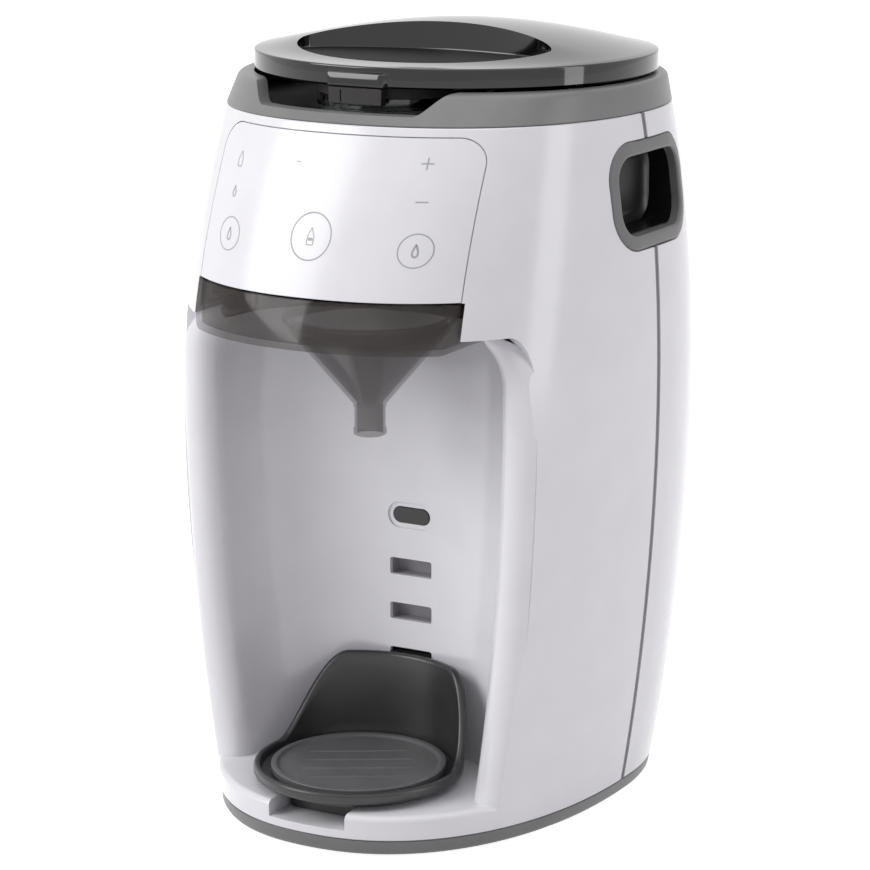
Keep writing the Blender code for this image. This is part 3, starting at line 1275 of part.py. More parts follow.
def make_dosing():
    """Powder container and the parts that turn in it: shaft, gear, dosing disc and agitator."""
    skirt = DECK_BOTTOM + DECK_THICK + GAP
    outer = ((BIN_RADIUS, skirt), (BIN_RADIUS, BIN_TOP))
    bin_ = new_object("powder_container", turned(outer, 0, BIN_Y, 32), SMOKE)
    inner = BIN_RADIUS - BIN_WALL
    cut(bin_, "bin_under", turned(((inner, skirt - OVERRUN), (inner, BIN_FLOOR)), 0, BIN_Y, 32))
    chute = CHUTE_RADIUS + CHUTE_WALL
    chute_low = DECK_BOTTOM + GAP
    join(
        bin_, "chute",
        turned(((chute, chute_low), (chute, BIN_FLOOR + BIN_FLOOR_THICK / 2)), 0, FUNNEL_Y, 20)
    )
    floor = BIN_FLOOR + BIN_FLOOR_THICK
    cut(bin_, "bin_inside", turned(((inner, floor), (inner, BIN_TOP + OVERRUN)), 0, BIN_Y, 32))
    cut(
        bin_, "chute_bore",
        turned(((CHUTE_RADIUS, chute_low - OVERRUN), (CHUTE_RADIUS, floor + OVERRUN)), 0, FUNNEL_Y, 20)
    )
    bore = SHAFT_RADIUS + GAP
    cut(bin_, "shaft_bore", turned(((bore, skirt), (bore, floor + OVERRUN)), 0, BIN_Y, 16))

    shaft_low = DECK_BOTTOM + DECK_THICK / 2
    shaft = turned(((SHAFT_RADIUS, shaft_low), (SHAFT_RADIUS, SHAFT_TOP)), 0, BIN_Y, 16)
    new_object("dosing_shaft", shaft, STEEL, (0, BIN_Y, shaft_low))

    disc_low = floor + GAP
    disc_top = disc_low + DISC_THICK
    disc = new_object(
        "dosing_disc", turned(((DISC_RADIUS, disc_low), (DISC_RADIUS, disc_top)), 0, BIN_Y, 32), NYLON,
        (0, BIN_Y, disc_low)
    )
    orbit = BIN_Y - FUNNEL_Y
    for i in range(DISC_POCKETS):
        angle = math.radians(-90) + (i + 0.5) * 2 * math.pi / DISC_POCKETS
        x = orbit * math.cos(angle)
        y = BIN_Y + orbit * math.sin(angle)
        radius = CHUTE_RADIUS - GAP
        radius = min(radius, DISC_RADIUS - orbit - GAP)
        cut(
            disc, "dose_pocket_%d" % (i + 1),
            turned(((radius, disc_low - OVERRUN), (radius, disc_top + OVERRUN)), x, y, 12)
        )
    cut(disc, "disc_bore", turned(((bore, disc_low - OVERRUN), (bore, disc_top + OVERRUN)), 0, BIN_Y, 16))

    scraper_low = disc_top + GAP
    outline = []
    count = 8
    reach = inner - GAP
    for i in range(count + 1):
        angle = math.radians(-90) - SCRAPER_HALF_ANGLE + 2 * SCRAPER_HALF_ANGLE * i / count
        outline.append((reach * math.cos(angle), BIN_Y + reach * math.sin(angle)))
    for i in range(count + 1):
        angle = math.radians(-90) + SCRAPER_HALF_ANGLE - 2 * SCRAPER_HALF_ANGLE * i / count
        outline.append((SCRAPER_INNER * math.cos(angle), BIN_Y + SCRAPER_INNER * math.sin(angle)))
    new_object("dose_scraper", extruded(outline, flat_up, scraper_low, scraper_low + SCRAPER_THICK), NYLON)

    hub = new_object(
        "agitator", turned(((HUB_RADIUS, AGITATOR_BOTTOM), (HUB_RADIUS, AGITATOR_TOP)), 0, BIN_Y, 16),
        NYLON, (0, BIN_Y, AGITATOR_BOTTOM)
    )
    for i in range(ARM_COUNT):
        angle = 2 * math.pi * i / ARM_COUNT + math.radians(30)
        c = math.cos(angle)
        s = math.sin(angle)
        half = ARM_THICK / 2
        points = []
        for along, across in (
            (HUB_RADIUS / 2, -half), (ARM_REACH, -half), (ARM_REACH, half), (HUB_RADIUS / 2, half)
        ):
            points.append((along * c - across * s, BIN_Y + along * s + across * c))
        join(
            hub, "arm_%d" % (i + 1),
            extruded(points, flat_up, AGITATOR_BOTTOM + ARM_THICK * i, AGITATOR_BOTTOM + ARM_THICK * (i + 2))
        )
    cut(
        hub, "hub_bore",
        turned(((bore, AGITATOR_BOTTOM - OVERRUN), (bore, AGITATOR_TOP + OVERRUN)), 0, BIN_Y, 16)
    )

    gear_top = GEAR_BOTTOM + GEAR_FACE
    outline = gear_outline(GEAR_TEETH, BIN_Y, math.radians(90))
    gear = new_object(
        "drive_gear", extruded(outline, flat_up, GEAR_BOTTOM, gear_top), NYLON, (0, BIN_Y, GEAR_BOTTOM)
    )
    cut(gear, "gear_bore", turned(((bore, GEAR_BOTTOM - OVERRUN), (bore, gear_top + OVERRUN)), 0, BIN_Y, 16))
    y = pinion_y()
    gap_turn = math.radians(-90) + math.pi / PINION_TEETH
    outline = gear_outline(PINION_TEETH, y, gap_turn)
    pinion = new_object(
        "motor_pinion", extruded(outline, flat_up, GEAR_BOTTOM, gear_top), NYLON, (0, y, GEAR_BOTTOM)
    )
    shaft = turned(
        ((PINION_SHAFT_RADIUS, GEAR_BOTTOM - PINION_SHAFT_LENGTH), (PINION_SHAFT_RADIUS, gear_top - GAP)),
        0, y, 14
    )
    join(pinion, "pinion_shaft", shaft)
    motor_top = DECK_BOTTOM - GAP
    motor = new_object(
        "dosing_motor", turned(((MOTOR_RADIUS, MOTOR_BOTTOM), (MOTOR_RADIUS, motor_top)), 0, y, 28), STEEL
    )
    socket = PINION_SHAFT_RADIUS + GAP
    socket_low = GEAR_BOTTOM - PINION_SHAFT_LENGTH - GAP
    cut(motor, "motor_socket", turned(((socket, socket_low), (socket, motor_top + OVERRUN)), 0, y, 14))


def make_water_side():
    """Pump and heater on the base tray, and the water outlet on the deck."""
    low = BASE_FLOOR + GAP
    pump = new_object(
        "water_pump", turned(((PUMP_RADIUS, low), (PUMP_RADIUS, PUMP_TOP)), PUMP_X, PUMP_Y, 24), BLACK
    )
    for name, sign in (("in", -1), ("out", 1)):
        x = PUMP_X + sign * PUMP_RADIUS / 2
        port = turned(
            ((PORT_RADIUS, PUMP_TOP - PORT_LENGTH), (PORT_RADIUS, PUMP_TOP + PORT_LENGTH)), x, PUMP_Y, 12
        )
        join(pump, "pump_port_" + name, port)
    heater = new_object(
        "water_heater", along_x(-HEATER_HALF, HEATER_HALF, HEATER_Y, HEATER_Z, HEATER_RADIUS, 24), STEEL
    )
    for side, sign in SIDES:
        x = sign * (HEATER_HALF - HEATER_FOOT)
        foot = box(
            x - HEATER_FOOT / 2, x + HEATER_FOOT / 2, HEATER_Y - HEATER_RADIUS, HEATER_Y + HEATER_RADIUS,
            low, HEATER_Z
        )
        join(heater, "heater_foot_" + side, foot)
        top = HEATER_Z + HEATER_RADIUS
        port = turned(((PORT_RADIUS, HEATER_Z), (PORT_RADIUS, top + PORT_LENGTH)), x, HEATER_Y, 12)
        join(heater, "heater_port_" + side, port)
    deck_top = DECK_BOTTOM + DECK_THICK
    block_low = deck_top + GAP
    block_top = block_low + 2 * OUTLET_BLOCK
    profile = (
        (OUTLET_BLOCK - 2 * GAP, OUTLET_TIP),
        (OUTLET_BLOCK - 2 * GAP, block_low),
        (OUTLET_BLOCK + GAP, block_low),
        (OUTLET_BLOCK + GAP, block_top),
    )
    outlet = new_object("water_outlet", turned(profile, OUTLET_X, OUTLET_NOZZLE_Y, 16), BLACK)
    bore = turned(
        ((OUTLET_BORE, OUTLET_TIP - OVERRUN), (OUTLET_BORE, block_low + OUTLET_BLOCK)), OUTLET_X,
        OUTLET_NOZZLE_Y, 10
    )
    cut(outlet, "outlet_bore", bore)


def hose(name, points):
    """Silicone hose along a smooth curve through the given points."""
    curve = bpy.data.curves.new(name, "CURVE")
    curve.dimensions = "3D"
    curve.bevel_depth = HOSE_RADIUS
    curve.bevel_resolution = 2
    curve.use_fill_caps = True
    path = smooth(points)
    spline = curve.splines.new("POLY")
    spline.points.add(len(path) - 1)
    for target, point in zip(spline.points, path):
        target.co = (*point, 1)
    curve.materials.append(SILICONE)
    obj = bpy.data.objects.new(name, curve)
    bpy.context.scene.collection.objects.link(obj)
    obj.parent = stand_point


def smooth(points, steps=3):
    """Catmull-Rom curve through the points, its ends kept straight."""
    points = [Vector(p) for p in points]
    start = (points[0] + points[1]) / 2
    finish = (points[-1] + points[-2]) / 2
    points = [points[0], start] + points[1:-1] + [finish, points[-1]]
    ends = [2 * points[0] - points[1]] + points + [2 * points[-1] - points[-2]]
    path = []
    for a, b, c, d in zip(ends, ends[1:], ends[2:], ends[3:]):
        for i in range(steps):
            t = i / steps
            cubic = (3 * b - a - 3 * c + d) * t ** 3
            path.append((2 * b + (c - a) * t + (2 * a - 5 * b + 4 * c - d) * t ** 2 + cubic) / 2)
    path.append(points[-1])
    return path


def make_hoses():
    """Tank to pump, pump to heater, heater to outlet."""
    pump_top = PUMP_TOP + PORT_LENGTH + GAP
    heater_top = HEATER_Z + HEATER_RADIUS + PORT_LENGTH + GAP
    spigot = TANK_BOTTOM - SPIGOT_LENGTH - GAP
    pump_in = PUMP_X - PUMP_RADIUS / 2
    pump_out = PUMP_X + PUMP_RADIUS / 2
    heater_x = HEATER_HALF - HEATER_FOOT
    straight = 3 * HOSE_RADIUS
    middle_y = (OUTLET_Y + PUMP_Y) / 2
    middle_z = (spigot + pump_top) / 2
    hose("hose_tank", (
        (0, OUTLET_Y, spigot),
        (0, OUTLET_Y, spigot - straight),
        (pump_in / 2, middle_y, middle_z),
        (pump_in, PUMP_Y, pump_top + straight),
        (pump_in, PUMP_Y, pump_top),
    ))
    hose("hose_pump", (
        (pump_out, PUMP_Y, pump_top),
        (pump_out, PUMP_Y, pump_top + straight),
        ((pump_out - heater_x) / 2, (PUMP_Y + HEATER_Y) / 2, pump_top + 1.6 * straight),
        (-heater_x, HEATER_Y, heater_top + straight),
        (-heater_x, HEATER_Y, heater_top),
    ))
    deck_top = DECK_BOTTOM + DECK_THICK
    run_z = deck_top + OUTLET_BLOCK + GAP
    outlet_x = OUTLET_X + OUTLET_BLOCK + 3 * GAP
    hose("hose_outlet", (
        (heater_x, HEATER_Y, heater_top),
        (heater_x, HEATER_Y, heater_top + straight),
        ((heater_x + HOSE_RISE_X) / 2, (HEATER_Y + HOSE_RISE_Y) / 2, heater_top + 3 * straight),
        (HOSE_RISE_X, HOSE_RISE_Y, heater_top + 6 * straight),
        (HOSE_RISE_X, HOSE_RISE_Y, (heater_top + DECK_BOTTOM) / 2),
        (HOSE_RISE_X, HOSE_RISE_Y, DECK_BOTTOM - straight),
        (HOSE_RISE_X, HOSE_RISE_Y, deck_top),
        (HOSE_RISE_X - GAP, HOSE_RISE_Y - straight, run_z),
        (HOSE_RISE_X - HOSE_RADIUS, BIN_Y, run_z),
        (OUTLET_X + 2 * straight, OUTLET_NOZZLE_Y + HOSE_RADIUS, run_z),
        (outlet_x, OUTLET_NOZZLE_Y, run_z),
    ))


def make_mains_side():
    """Main board on the base tray and the mains socket in the rear casing."""
    low = BASE_FLOOR + GAP
    board = box(
        MAIN_BOARD_X, MAIN_BOARD_X + BOARD_THICK, MAIN_BOARD_FRONT_Y, MAIN_BOARD_REAR_Y, low, MAIN_BOARD_TOP
    )
    new_object("main_board", board, BOARD_GREEN)
    x0 = INLET_X - INLET_HALF
    x1 = INLET_X + INLET_HALF
    z0 = INLET_Z - INLET_HEIGHT / 2
    z1 = INLET_Z + INLET_HEIGHT / 2
    inlet = new_object(
        "mains_inlet", box(x0, x1, BODY_REAR_DEPTH - INLET_DEPTH - INLET_BACK, FAR, z0, z1), BLACK
    )
    keep(inlet, "inlet_face", body_solid(0, BASE_TOP, BODY_TOP / 2))
    face = BODY_REAR_DEPTH - INLET_DEPTH
    wall = INLET_WALL
    cut(inlet, "inlet_recess", box(x0 + wall, x1 - wall, face, FAR, z0 + wall, z1 - wall))
    for name, sign in (("left", -1), ("right", 1)):
        x = INLET_X + sign * BLADE_PITCH
        blade = box(
            x - BLADE_HALF, x + BLADE_HALF, face - wall, face + BLADE_LENGTH, INLET_Z - 2 * BLADE_HALF,
            INLET_Z + 2 * BLADE_HALF
        )
        join(inlet, "blade_" + name, blade)


make_base()
make_front_casing()
make_rear_casing()
make_seam_strips()
make_grips()
make_sensor()
make_panel()
make_drawer()
make_funnel()
make_stand()
make_collar()
make_lid()
make_bezel()
make_tank()
make_chassis()
make_deck()
make_dosing()
make_water_side()
make_hoses()
make_mains_side()
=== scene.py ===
"""Baby formula maker: the look of every piece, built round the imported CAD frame.

Sizes are in metres. Shapes are drawn in the casing's section frame, where y is zero at its widest
section, and settle() carries each finished mesh to its place in the shared frame.
"""
import math

import bmesh
import bpy
from mathutils import Euler, Matrix, Vector


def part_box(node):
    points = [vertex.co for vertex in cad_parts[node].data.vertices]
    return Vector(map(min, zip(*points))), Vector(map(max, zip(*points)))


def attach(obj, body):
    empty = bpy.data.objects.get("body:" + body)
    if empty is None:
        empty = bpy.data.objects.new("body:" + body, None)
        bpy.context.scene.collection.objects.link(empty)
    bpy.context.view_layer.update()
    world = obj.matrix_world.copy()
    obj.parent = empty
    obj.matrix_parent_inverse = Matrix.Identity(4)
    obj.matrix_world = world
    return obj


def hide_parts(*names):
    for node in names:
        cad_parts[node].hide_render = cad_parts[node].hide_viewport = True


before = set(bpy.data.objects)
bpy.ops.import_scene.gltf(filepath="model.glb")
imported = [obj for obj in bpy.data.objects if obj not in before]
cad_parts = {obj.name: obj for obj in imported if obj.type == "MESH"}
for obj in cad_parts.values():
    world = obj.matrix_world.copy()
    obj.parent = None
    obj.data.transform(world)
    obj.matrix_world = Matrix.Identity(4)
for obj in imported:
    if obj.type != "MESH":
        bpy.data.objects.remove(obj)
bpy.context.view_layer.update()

# Places in the shared frame
SECTION_Y = 0.015414147
BODY_TOP = 0.3350
BASE_TOP = 0.0084

# Casing sections: half widths and depths at five equal heights
HALF_WIDTH = 0.1130
FRONT_DEPTH = 0.1582
REAR_DEPTH = 0.1190
SECTION_SHARES = (0.0, 0.25, 0.50, 0.75, 1.0)
WIDTH_SHARES = (0.849, 0.950, 1.0, 0.997, 0.916)
FRONT_SHARES = (0.918, 0.962, 1.0, 0.925, 0.701)
REAR_SHARES = (0.818, 0.950, 1.0, 0.966, 0.843)
FRONT_ROUNDNESS = 2.235
REAR_ROUNDNESS = 2.077
BODY_SEGMENTS = 192
BODY_LEVELS = 40
WALL = 0.0025
GAP = 0.0003
OVERRUN = 0.004
FAR = 0.5
EDGE = 0.0005
SEAM_Y = -0.0084
SEAM_WIDTH = 0.0030
SEAM_DEPTH = 0.0040
SEAM_SUNK = 0.0004
BASE_FLOOR = 0.0045
BASE_RIM = 0.0045
BASE_LOW = 0.0015
BASE_SETBACK = 0.0003
BASE_ROUND = 0.0018

# Alcove and what opens from it
ALCOVE_FLOOR = 0.0205
ALCOVE_CEILING = 0.2440
ALCOVE_BACK_Y = -0.0445
ALCOVE_MOUTH_Y = -0.0912
ALCOVE_SIDE = 0.0378
ALCOVE_LIP = 0.010
ALCOVE_OVERLAP = 0.0006
ALCOVE_CORNER = 0.025
ALCOVE_ROUNDNESS = 2.4
ALCOVE_SEGMENTS = 64
LIP_SEGMENTS = 14
LIP_SWEEP = math.radians(151)
SHELF_EDGE = 0.0032
NOTCH_HALF = 0.0205
NOTCH_FLOOR = 0.0130
NOTCH_REAR_Y = -0.1153
SLOT_HALF = 0.0115
SLOT_HEIGHT = 0.0084
SLOT_CORNER = 0.0012
LINER_WALL = 0.0010
SLOT_HEIGHTS = (0.0660, 0.0886, 0.1112)
WINDOW_Z = 0.1371
WINDOW_HALF = 0.0099
WINDOW_HEIGHT = 0.0076
WINDOW_BORDER = 0.0027
WINDOW_SUNK = 0.0008
CHASSIS_Y = -0.0345

# Drawer bay and touch panel
BAY_HALF = 0.0700
BAY_BOTTOM = 0.2373
BAY_TOP = 0.2606
BAY_REAR_Y = -0.0382
PANEL_HALF = 0.0684
PANEL_BOTTOM = 0.2610
PANEL_TOP = 0.3306
PANEL_CORNER = 0.0120
PANEL_THICK = 0.0013
PANEL_PLAY = 0.0005

# Grips
GRIP_FRONT_Y = -0.0430
GRIP_REAR_Y = 0.0330
GRIP_BOTTOM = 0.2730
GRIP_TOP = 0.3230
GRIP_CORNER = 0.0190
GRIP_RIM = 0.0068
GRIP_FLOOR_X = 0.0880
GRIP_BACK = 0.0022
GRIP_PROUD = 0.0008
GRIP_LIP = 0.0016
GRIP_ROOT = 0.0030
LINING_START = 0.0042
LINING_GAP = 0.0001
LINING_THICK = 0.0005


# Shape helpers

def share_curve(shares, z):
    """Smooth curve through five shares, given at equal heights of the casing."""
    t = z / BODY_TOP
    total = 0.0
    for i, place in enumerate(SECTION_SHARES):
        term = shares[i]
        for j, other in enumerate(SECTION_SHARES):
            if i != j:
                term *= (t - other) / (place - other)
        total += term
    return total


def half_width(z):
    return HALF_WIDTH * share_curve(WIDTH_SHARES, z)


def front_depth(z):
    return FRONT_DEPTH * share_curve(FRONT_SHARES, z)


def rear_depth(z):
    return REAR_DEPTH * share_curve(REAR_SHARES, z)


def full_turn(count):
    return [2 * math.pi * i / count for i in range(count)]


def circle(x, z, radius, count=72):
    return [(x + radius * math.cos(angle), z + radius * math.sin(angle)) for angle in full_turn(count)]


def power(value, exponent):
    return math.copysign(abs(value) ** exponent, value)


def plan_point(angle, width, front, rear, front_roundness=FRONT_ROUNDNESS):
    roundness = REAR_ROUNDNESS if math.sin(angle) > 0 else front_roundness
    depth = rear if math.sin(angle) > 0 else front
    x = width * power(math.cos(angle), 2 / roundness)
    y = depth * power(math.sin(angle), 2 / roundness)
    return x, y


def plan_ring(width, front, rear, z, segments=BODY_SEGMENTS, front_roundness=FRONT_ROUNDNESS):
    places = [plan_point(angle, width, front, rear, front_roundness) for angle in full_turn(segments)]
    return [Vector((x, y, z)) for x, y in places]


def body_ring(z, inset=0.0, segments=BODY_SEGMENTS):
    return plan_ring(half_width(z) - inset, front_depth(z) - inset, rear_depth(z) - inset, z, segments)


def surface_y(x, z):
    """Front of the casing at x and height z."""
    share = min(abs(x) / half_width(z), 1)
    return -front_depth(z) * (1 - share ** FRONT_ROUNDNESS) ** (1 / FRONT_ROUNDNESS)


def surface_x(y, z, inset=0.0):
    """Half width of the casing at y and height z."""
    depth = (rear_depth(z) if y > 0 else front_depth(z)) - inset
    roundness = REAR_ROUNDNESS if y > 0 else FRONT_ROUNDNESS
    share = min(abs(y) / depth, 1)
    return (half_width(z) - inset) * (1 - share ** roundness) ** (1 / roundness)


def between(low, high, count):
    return [low + (high - low) * i / count for i in range(count + 1)]


def quarter(radius, count):
    """Steps of a rounded edge: how far it is drawn in, and how far below its end."""
    turns = between(0, math.pi / 2, count)
    return [(radius * (1 - math.cos(turn)), radius * (1 - math.sin(turn))) for turn in turns]


def skin(rings):
    """Closed solid through rings of equal length, with flat ends."""
    bm = bmesh.new()
    rows = [[bm.verts.new(p) for p in ring] for ring in rings]
    count = len(rows[0])
    for low, high in zip(rows, rows[1:]):
        for i in range(count):
            j = (i + 1) % count
            bm.faces.new((low[i], low[j], high[j], high[i]))
    bm.faces.new(list(reversed(rows[0])))
    bm.faces.new(rows[-1])
    return bm


def hoop(rings):
    """Closed ring-like solid: the last outline joins the first."""
    bm = bmesh.new()
    rows = [[bm.verts.new(p) for p in ring] for ring in rings]
    count = len(rows[0])
    for k, near in enumerate(rows):
        far = rows[(k + 1) % len(rows)]
        for i in range(count):
            j = (i + 1) % count
            bm.faces.new((near[i], near[j], far[j], far[i]))
    return bm


def box(x0, x1, y0, y1, z0, z1):
    corners = ((x0, y0), (x1, y0), (x1, y1), (x0, y1))
    return skin([[Vector((x, y, z)) for x, y in corners] for z in (z0, z1)])


def turned(profile, x, y, segments=96):
    """Closed solid turned about the upright axis at x, y from (radius, height) pairs."""
    return skin([[Vector((u, v, z)) for u, v in circle(x, y, radius, segments)] for radius, z in profile])


def turned_shell(profile, x, y, segments=96):
    """Ring-like solid: a closed (radius, height) outline turned about the upright axis."""
    rings = []
    for c, s in circle(0, 0, 1, segments):
        rings.append([Vector((x + r * c, y + r * s, z)) for r, z in profile])
    return hoop(rings)


def extruded(points, make, near, far):
    """Solid from a flat outline, carried from near to far by make(u, v, depth)."""
    return skin([[Vector(make(u, v, depth)) for u, v in points] for depth in (near, far)])


def facing_front(u, v, depth):
    return (u, depth, v)


def facing_side(u, v, depth):
    return (depth, u, v)


def rounded_outline(u0, u1, v0, v1, low_corner, high_corner, segments=12):
    """Rectangle with rounded corners; a corner radius of zero stays sharp."""
    points = []
    corners = (
        (u1, v0, low_corner, -math.pi / 2),
        (u1, v1, high_corner, 0),
        (u0, v1, high_corner, math.pi / 2),
        (u0, v0, low_corner, math.pi),
    )
    for u, v, radius, start in corners:
        if not radius:
            points.append((u, v))
            continue
        cu = u - math.copysign(radius, u - (u0 + u1) / 2)
        cv = v - math.copysign(radius, v - (v0 + v1) / 2)
        for i in range(segments + 1):
            angle = start + math.pi / 2 * i / segments
            points.append((cu + radius * math.cos(angle), cv + radius * math.sin(angle)))
    return points


def shape(name, bm):
    """Object from a bmesh, in the section frame."""
    bmesh.ops.recalc_face_normals(bm, faces=bm.faces)
    mesh = bpy.data.meshes.new(name)
    bm.to_mesh(mesh)
    bm.free()
    obj = bpy.data.objects.new(name, mesh)
    bpy.context.scene.collection.objects.link(obj)
    return obj


def boolean(obj, bm, operation="DIFFERENCE"):
    """Cuts, joins or keeps with a solid, at once, and removes the tool."""
    tool = bm if isinstance(bm, bpy.types.Object) else shape("tool", bm)
    modifier = obj.modifiers.new("tool", "BOOLEAN")
    modifier.operation = operation
    modifier.solver = "EXACT"
    modifier.object = tool
    result = bpy.data.meshes.new_from_object(obj.evaluated_get(bpy.context.evaluated_depsgraph_get()))
    obj.modifiers.clear()
    obj.data = result
    bpy.data.objects.remove(tool)


def settle(obj, material, sharp=32, barrel=False):
    """Finishes a piece: smooth faces with sharp edges kept, its material, and its place in the frame."""
    mesh = obj.data
    mesh.name = obj.name
    mesh.materials.clear()
    mesh.materials.append(material)
    mesh.shade_smooth()
    mesh.set_sharp_from_angle(angle=math.radians(sharp))
    if barrel:
        barrel_normals(mesh)
    mesh.transform(Matrix.Translation((0, SECTION_Y, 0)))
    return obj


def join_frame(obj, body, slot, *nodes):
    """The piece moves with its body and stands for the nodes named; slot is not used."""
    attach(obj, body)
    if nodes:
        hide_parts(*nodes)


NORMAL_TOLERANCE = 0.0009
SLOPE_STEP = 0.0001
FACING = 0.9


def barrel_normals(mesh):
    """True normals of the barrel shape on the outer faces, so that its long facets don't show."""
    step = SLOPE_STEP
    normals = [corner.vector.copy() for corner in mesh.corner_normals]
    for face in mesh.polygons:
        for loop in face.loop_indices:
            x, y, z = mesh.vertices[mesh.loops[loop].vertex_index].co
            n = REAR_ROUNDNESS if y > 0 else FRONT_ROUNDNESS
            deep = rear_depth if y > 0 else front_depth
            w = half_width(z)
            d = deep(z)
            level = (abs(x) / w) ** n + (abs(y) / d) ** n
            if abs(level ** (1 / n) - 1) > NORMAL_TOLERANCE:
                continue
            slope_w = (half_width(z + step) - half_width(z - step)) / (2 * step)
            slope_d = (deep(z + step) - deep(z - step)) / (2 * step)
            fx = math.copysign(abs(x) ** (n - 1) / w ** n, x)
            fy = math.copysign(abs(y) ** (n - 1) / d ** n, y)
            fz = -abs(x) ** n * slope_w / w ** (n + 1) - abs(y) ** n * slope_d / d ** (n + 1)
            true = Vector((fx, fy, fz)).normalized()
            if true.dot(face.normal) > FACING:
                normals[loop] = true
    mesh.normals_split_custom_set(normals)


# Materials

def srgb(code):
    """Linear colour from an sRGB hex value."""
    channels = []
    for i in (0, 2, 4):
        value = int(code[i:i + 2], 16) / 255
        channels.append(value / 12.92 if value <= 0.04045 else ((value + 0.055) / 1.055) ** 2.4)
    return (*channels, 1.0)


def add_node(tree, kind, values=None, links=None, **settings):
    """Adds a node with its settings, its input values and the links into it."""
    node = tree.nodes.new(kind)
    for key, value in settings.items():
        setattr(node, key, value)
    for key, value in (values or {}).items():
        node.inputs[key].default_value = value
    for key, source in (links or {}).items():
        tree.links.new(source, node.inputs[key])
    return node


MM = 0.001


def finish(name, colours, roughness, grain, relief, patch=22 * MM, **sockets):
    """A finish with two near colours in slow patches, a range of roughness and a fine relief.

    grain, relief and patch are real sizes; sockets are the shader's other constant values.
    """
    material = bpy.data.materials.new(name)
    material.use_nodes = True
    tree = material.node_tree
    shader = tree.nodes["Principled BSDF"]
    for key, value in sockets.items():
        shader.inputs[key.replace("_", " ")].default_value = value
    place = add_node(tree, "ShaderNodeTexCoord").outputs["Object"]
    slow = add_node(tree, "ShaderNodeTexNoise", {"Scale": 1 / patch, "Detail": 2.0}, {"Vector": place})
    low, high = (srgb(code) for code in colours)
    ramp = add_node(tree, "ShaderNodeValToRGB", links={"Fac": slow.outputs["Fac"]})
    ramp.color_ramp.elements[0].position = 0.35
    ramp.color_ramp.elements[0].color = low
    ramp.color_ramp.elements[1].position = 0.65
    ramp.color_ramp.elements[1].color = high
    tree.links.new(ramp.outputs["Color"], shader.inputs["Base Color"])
    ends = {"To Min": roughness[0], "To Max": roughness[1]}
    gloss = add_node(tree, "ShaderNodeMapRange", ends, {"Value": slow.outputs["Fac"]})
    tree.links.new(gloss.outputs["Result"], shader.inputs["Roughness"])
    fine = add_node(tree, "ShaderNodeTexNoise", {"Scale": 1 / grain, "Detail": 3.0}, {"Vector": place})
    bump = add_node(tree, "ShaderNodeBump", {"Distance": relief}, {"Height": fine.outputs["Fac"]})
    tree.links.new(bump.outputs["Normal"], shader.inputs["Normal"])
    return material


# High-gloss ABS, polished mould: a clean white with soft, faintly wavy reflections
WHITE = finish("gloss_abs_white", ("E3E3E6", "E6E6E9"), (0.13, 0.19), 6.0 * MM, 0.004 * MM)
# The same ABS under a clear printed film: the touch panel, a little duller than the casing
FILM = finish("printed_film_white", ("E4E4E7", "E7E7EA"), (0.20, 0.26), 5.0 * MM, 0.003 * MM)
# Satin ABS, spark-eroded mould: an even mid grey with a fine matt grain
GREY = finish("satin_abs_grey", ("686868", "6D6D6D"), (0.38, 0.46), 0.6 * MM, 0.012 * MM)
# Pale satin grey for the pockets behind the slots: painted shade, the tone the deep slots take in shadow
SLOT_SHADE_GREY = finish("slot_shade_grey", ("9C9A9F", "A2A0A5"), (0.40, 0.48), 0.7 * MM, 0.010 * MM)
# Semi-gloss ABS: the lighter grey of the collar, with a soft sheen
COLLAR_GREY = finish("collar_abs_grey", ("747474", "797979"), (0.30, 0.36), 0.8 * MM, 0.008 * MM)
# Semi-gloss dark ABS: the stand, near black with a sheen along its rims
DARK = finish("dark_abs_grey", ("2C2C2D", "323233"), (0.28, 0.36), 0.7 * MM, 0.010 * MM)
# Satin dark grey ABS: the plate that the bottle stands on
PLATE = finish("plate_abs_grey", ("5A5A5B", "606061"), (0.36, 0.44), 0.7 * MM, 0.010 * MM)
# Black ABS: latch, window and what is seen deep inside; in the finger-cup linings this black is partly
# painted shade
BLACK = finish("black_abs", ("0E0E0F", "131314"), (0.22, 0.30), 1.0 * MM, 0.006 * MM)
# Polished black acrylic-capped ABS: the lid, like piano lacquer
LACQUER = finish(
    "black_gloss_lid", ("060606", "0A0A0A"), (0.05, 0.09), 8.0 * MM, 0.003 * MM, Coat_Weight=0.3
)
# Soft-touch black coating: the pad in the lid's finger pocket, nearly matt
SOFT_BLACK = finish(
    "soft_touch_black", ("050505", "080808"), (0.55, 0.65), 0.6 * MM, 0.010 * MM, Specular_IOR_Level=0.15
)
# Printing ink, pale grey, slightly dull
INK = finish("print_grey", ("A4A4A8", "ACACB0"), (0.45, 0.55), 1.0 * MM, 0.002 * MM)
# Smoked polycarbonate: brown-grey and see-through, with a polished face
SMOKE = finish(
    "smoked_polycarbonate", ("3B332F", "433A36"), (0.05, 0.08), 8.0 * MM, 0.002 * MM, Alpha=0.34
)
# The same, thicker and darker: the latch
DARK_SMOKE = finish(
    "smoked_polycarbonate_dark", ("201D1C", "282423"), (0.08, 0.12), 8.0 * MM, 0.002 * MM, Alpha=0.92
)
# Clear SAN with a faint blue cast: tank and powder container
CLEAR = finish(
    "clear_san", ("E2ECEF", "E8F0F2"), (0.03, 0.06), 9.0 * MM, 0.002 * MM, Transmission_Weight=1.0, IOR=1.45
)
# Black thermoplastic rubber: dull, fine-grained feet and seal
RUBBER = finish("black_rubber", ("1B1B1B", "222222"), (0.70, 0.82), 0.5 * MM, 0.020 * MM)
# Milky silicone hose: soft, slightly see-through
SILICONE = finish(
    "milky_silicone", ("D5D5CD", "DEDED6"), (0.42, 0.52), 1.5 * MM, 0.006 * MM, Subsurface_Weight=0.15
)
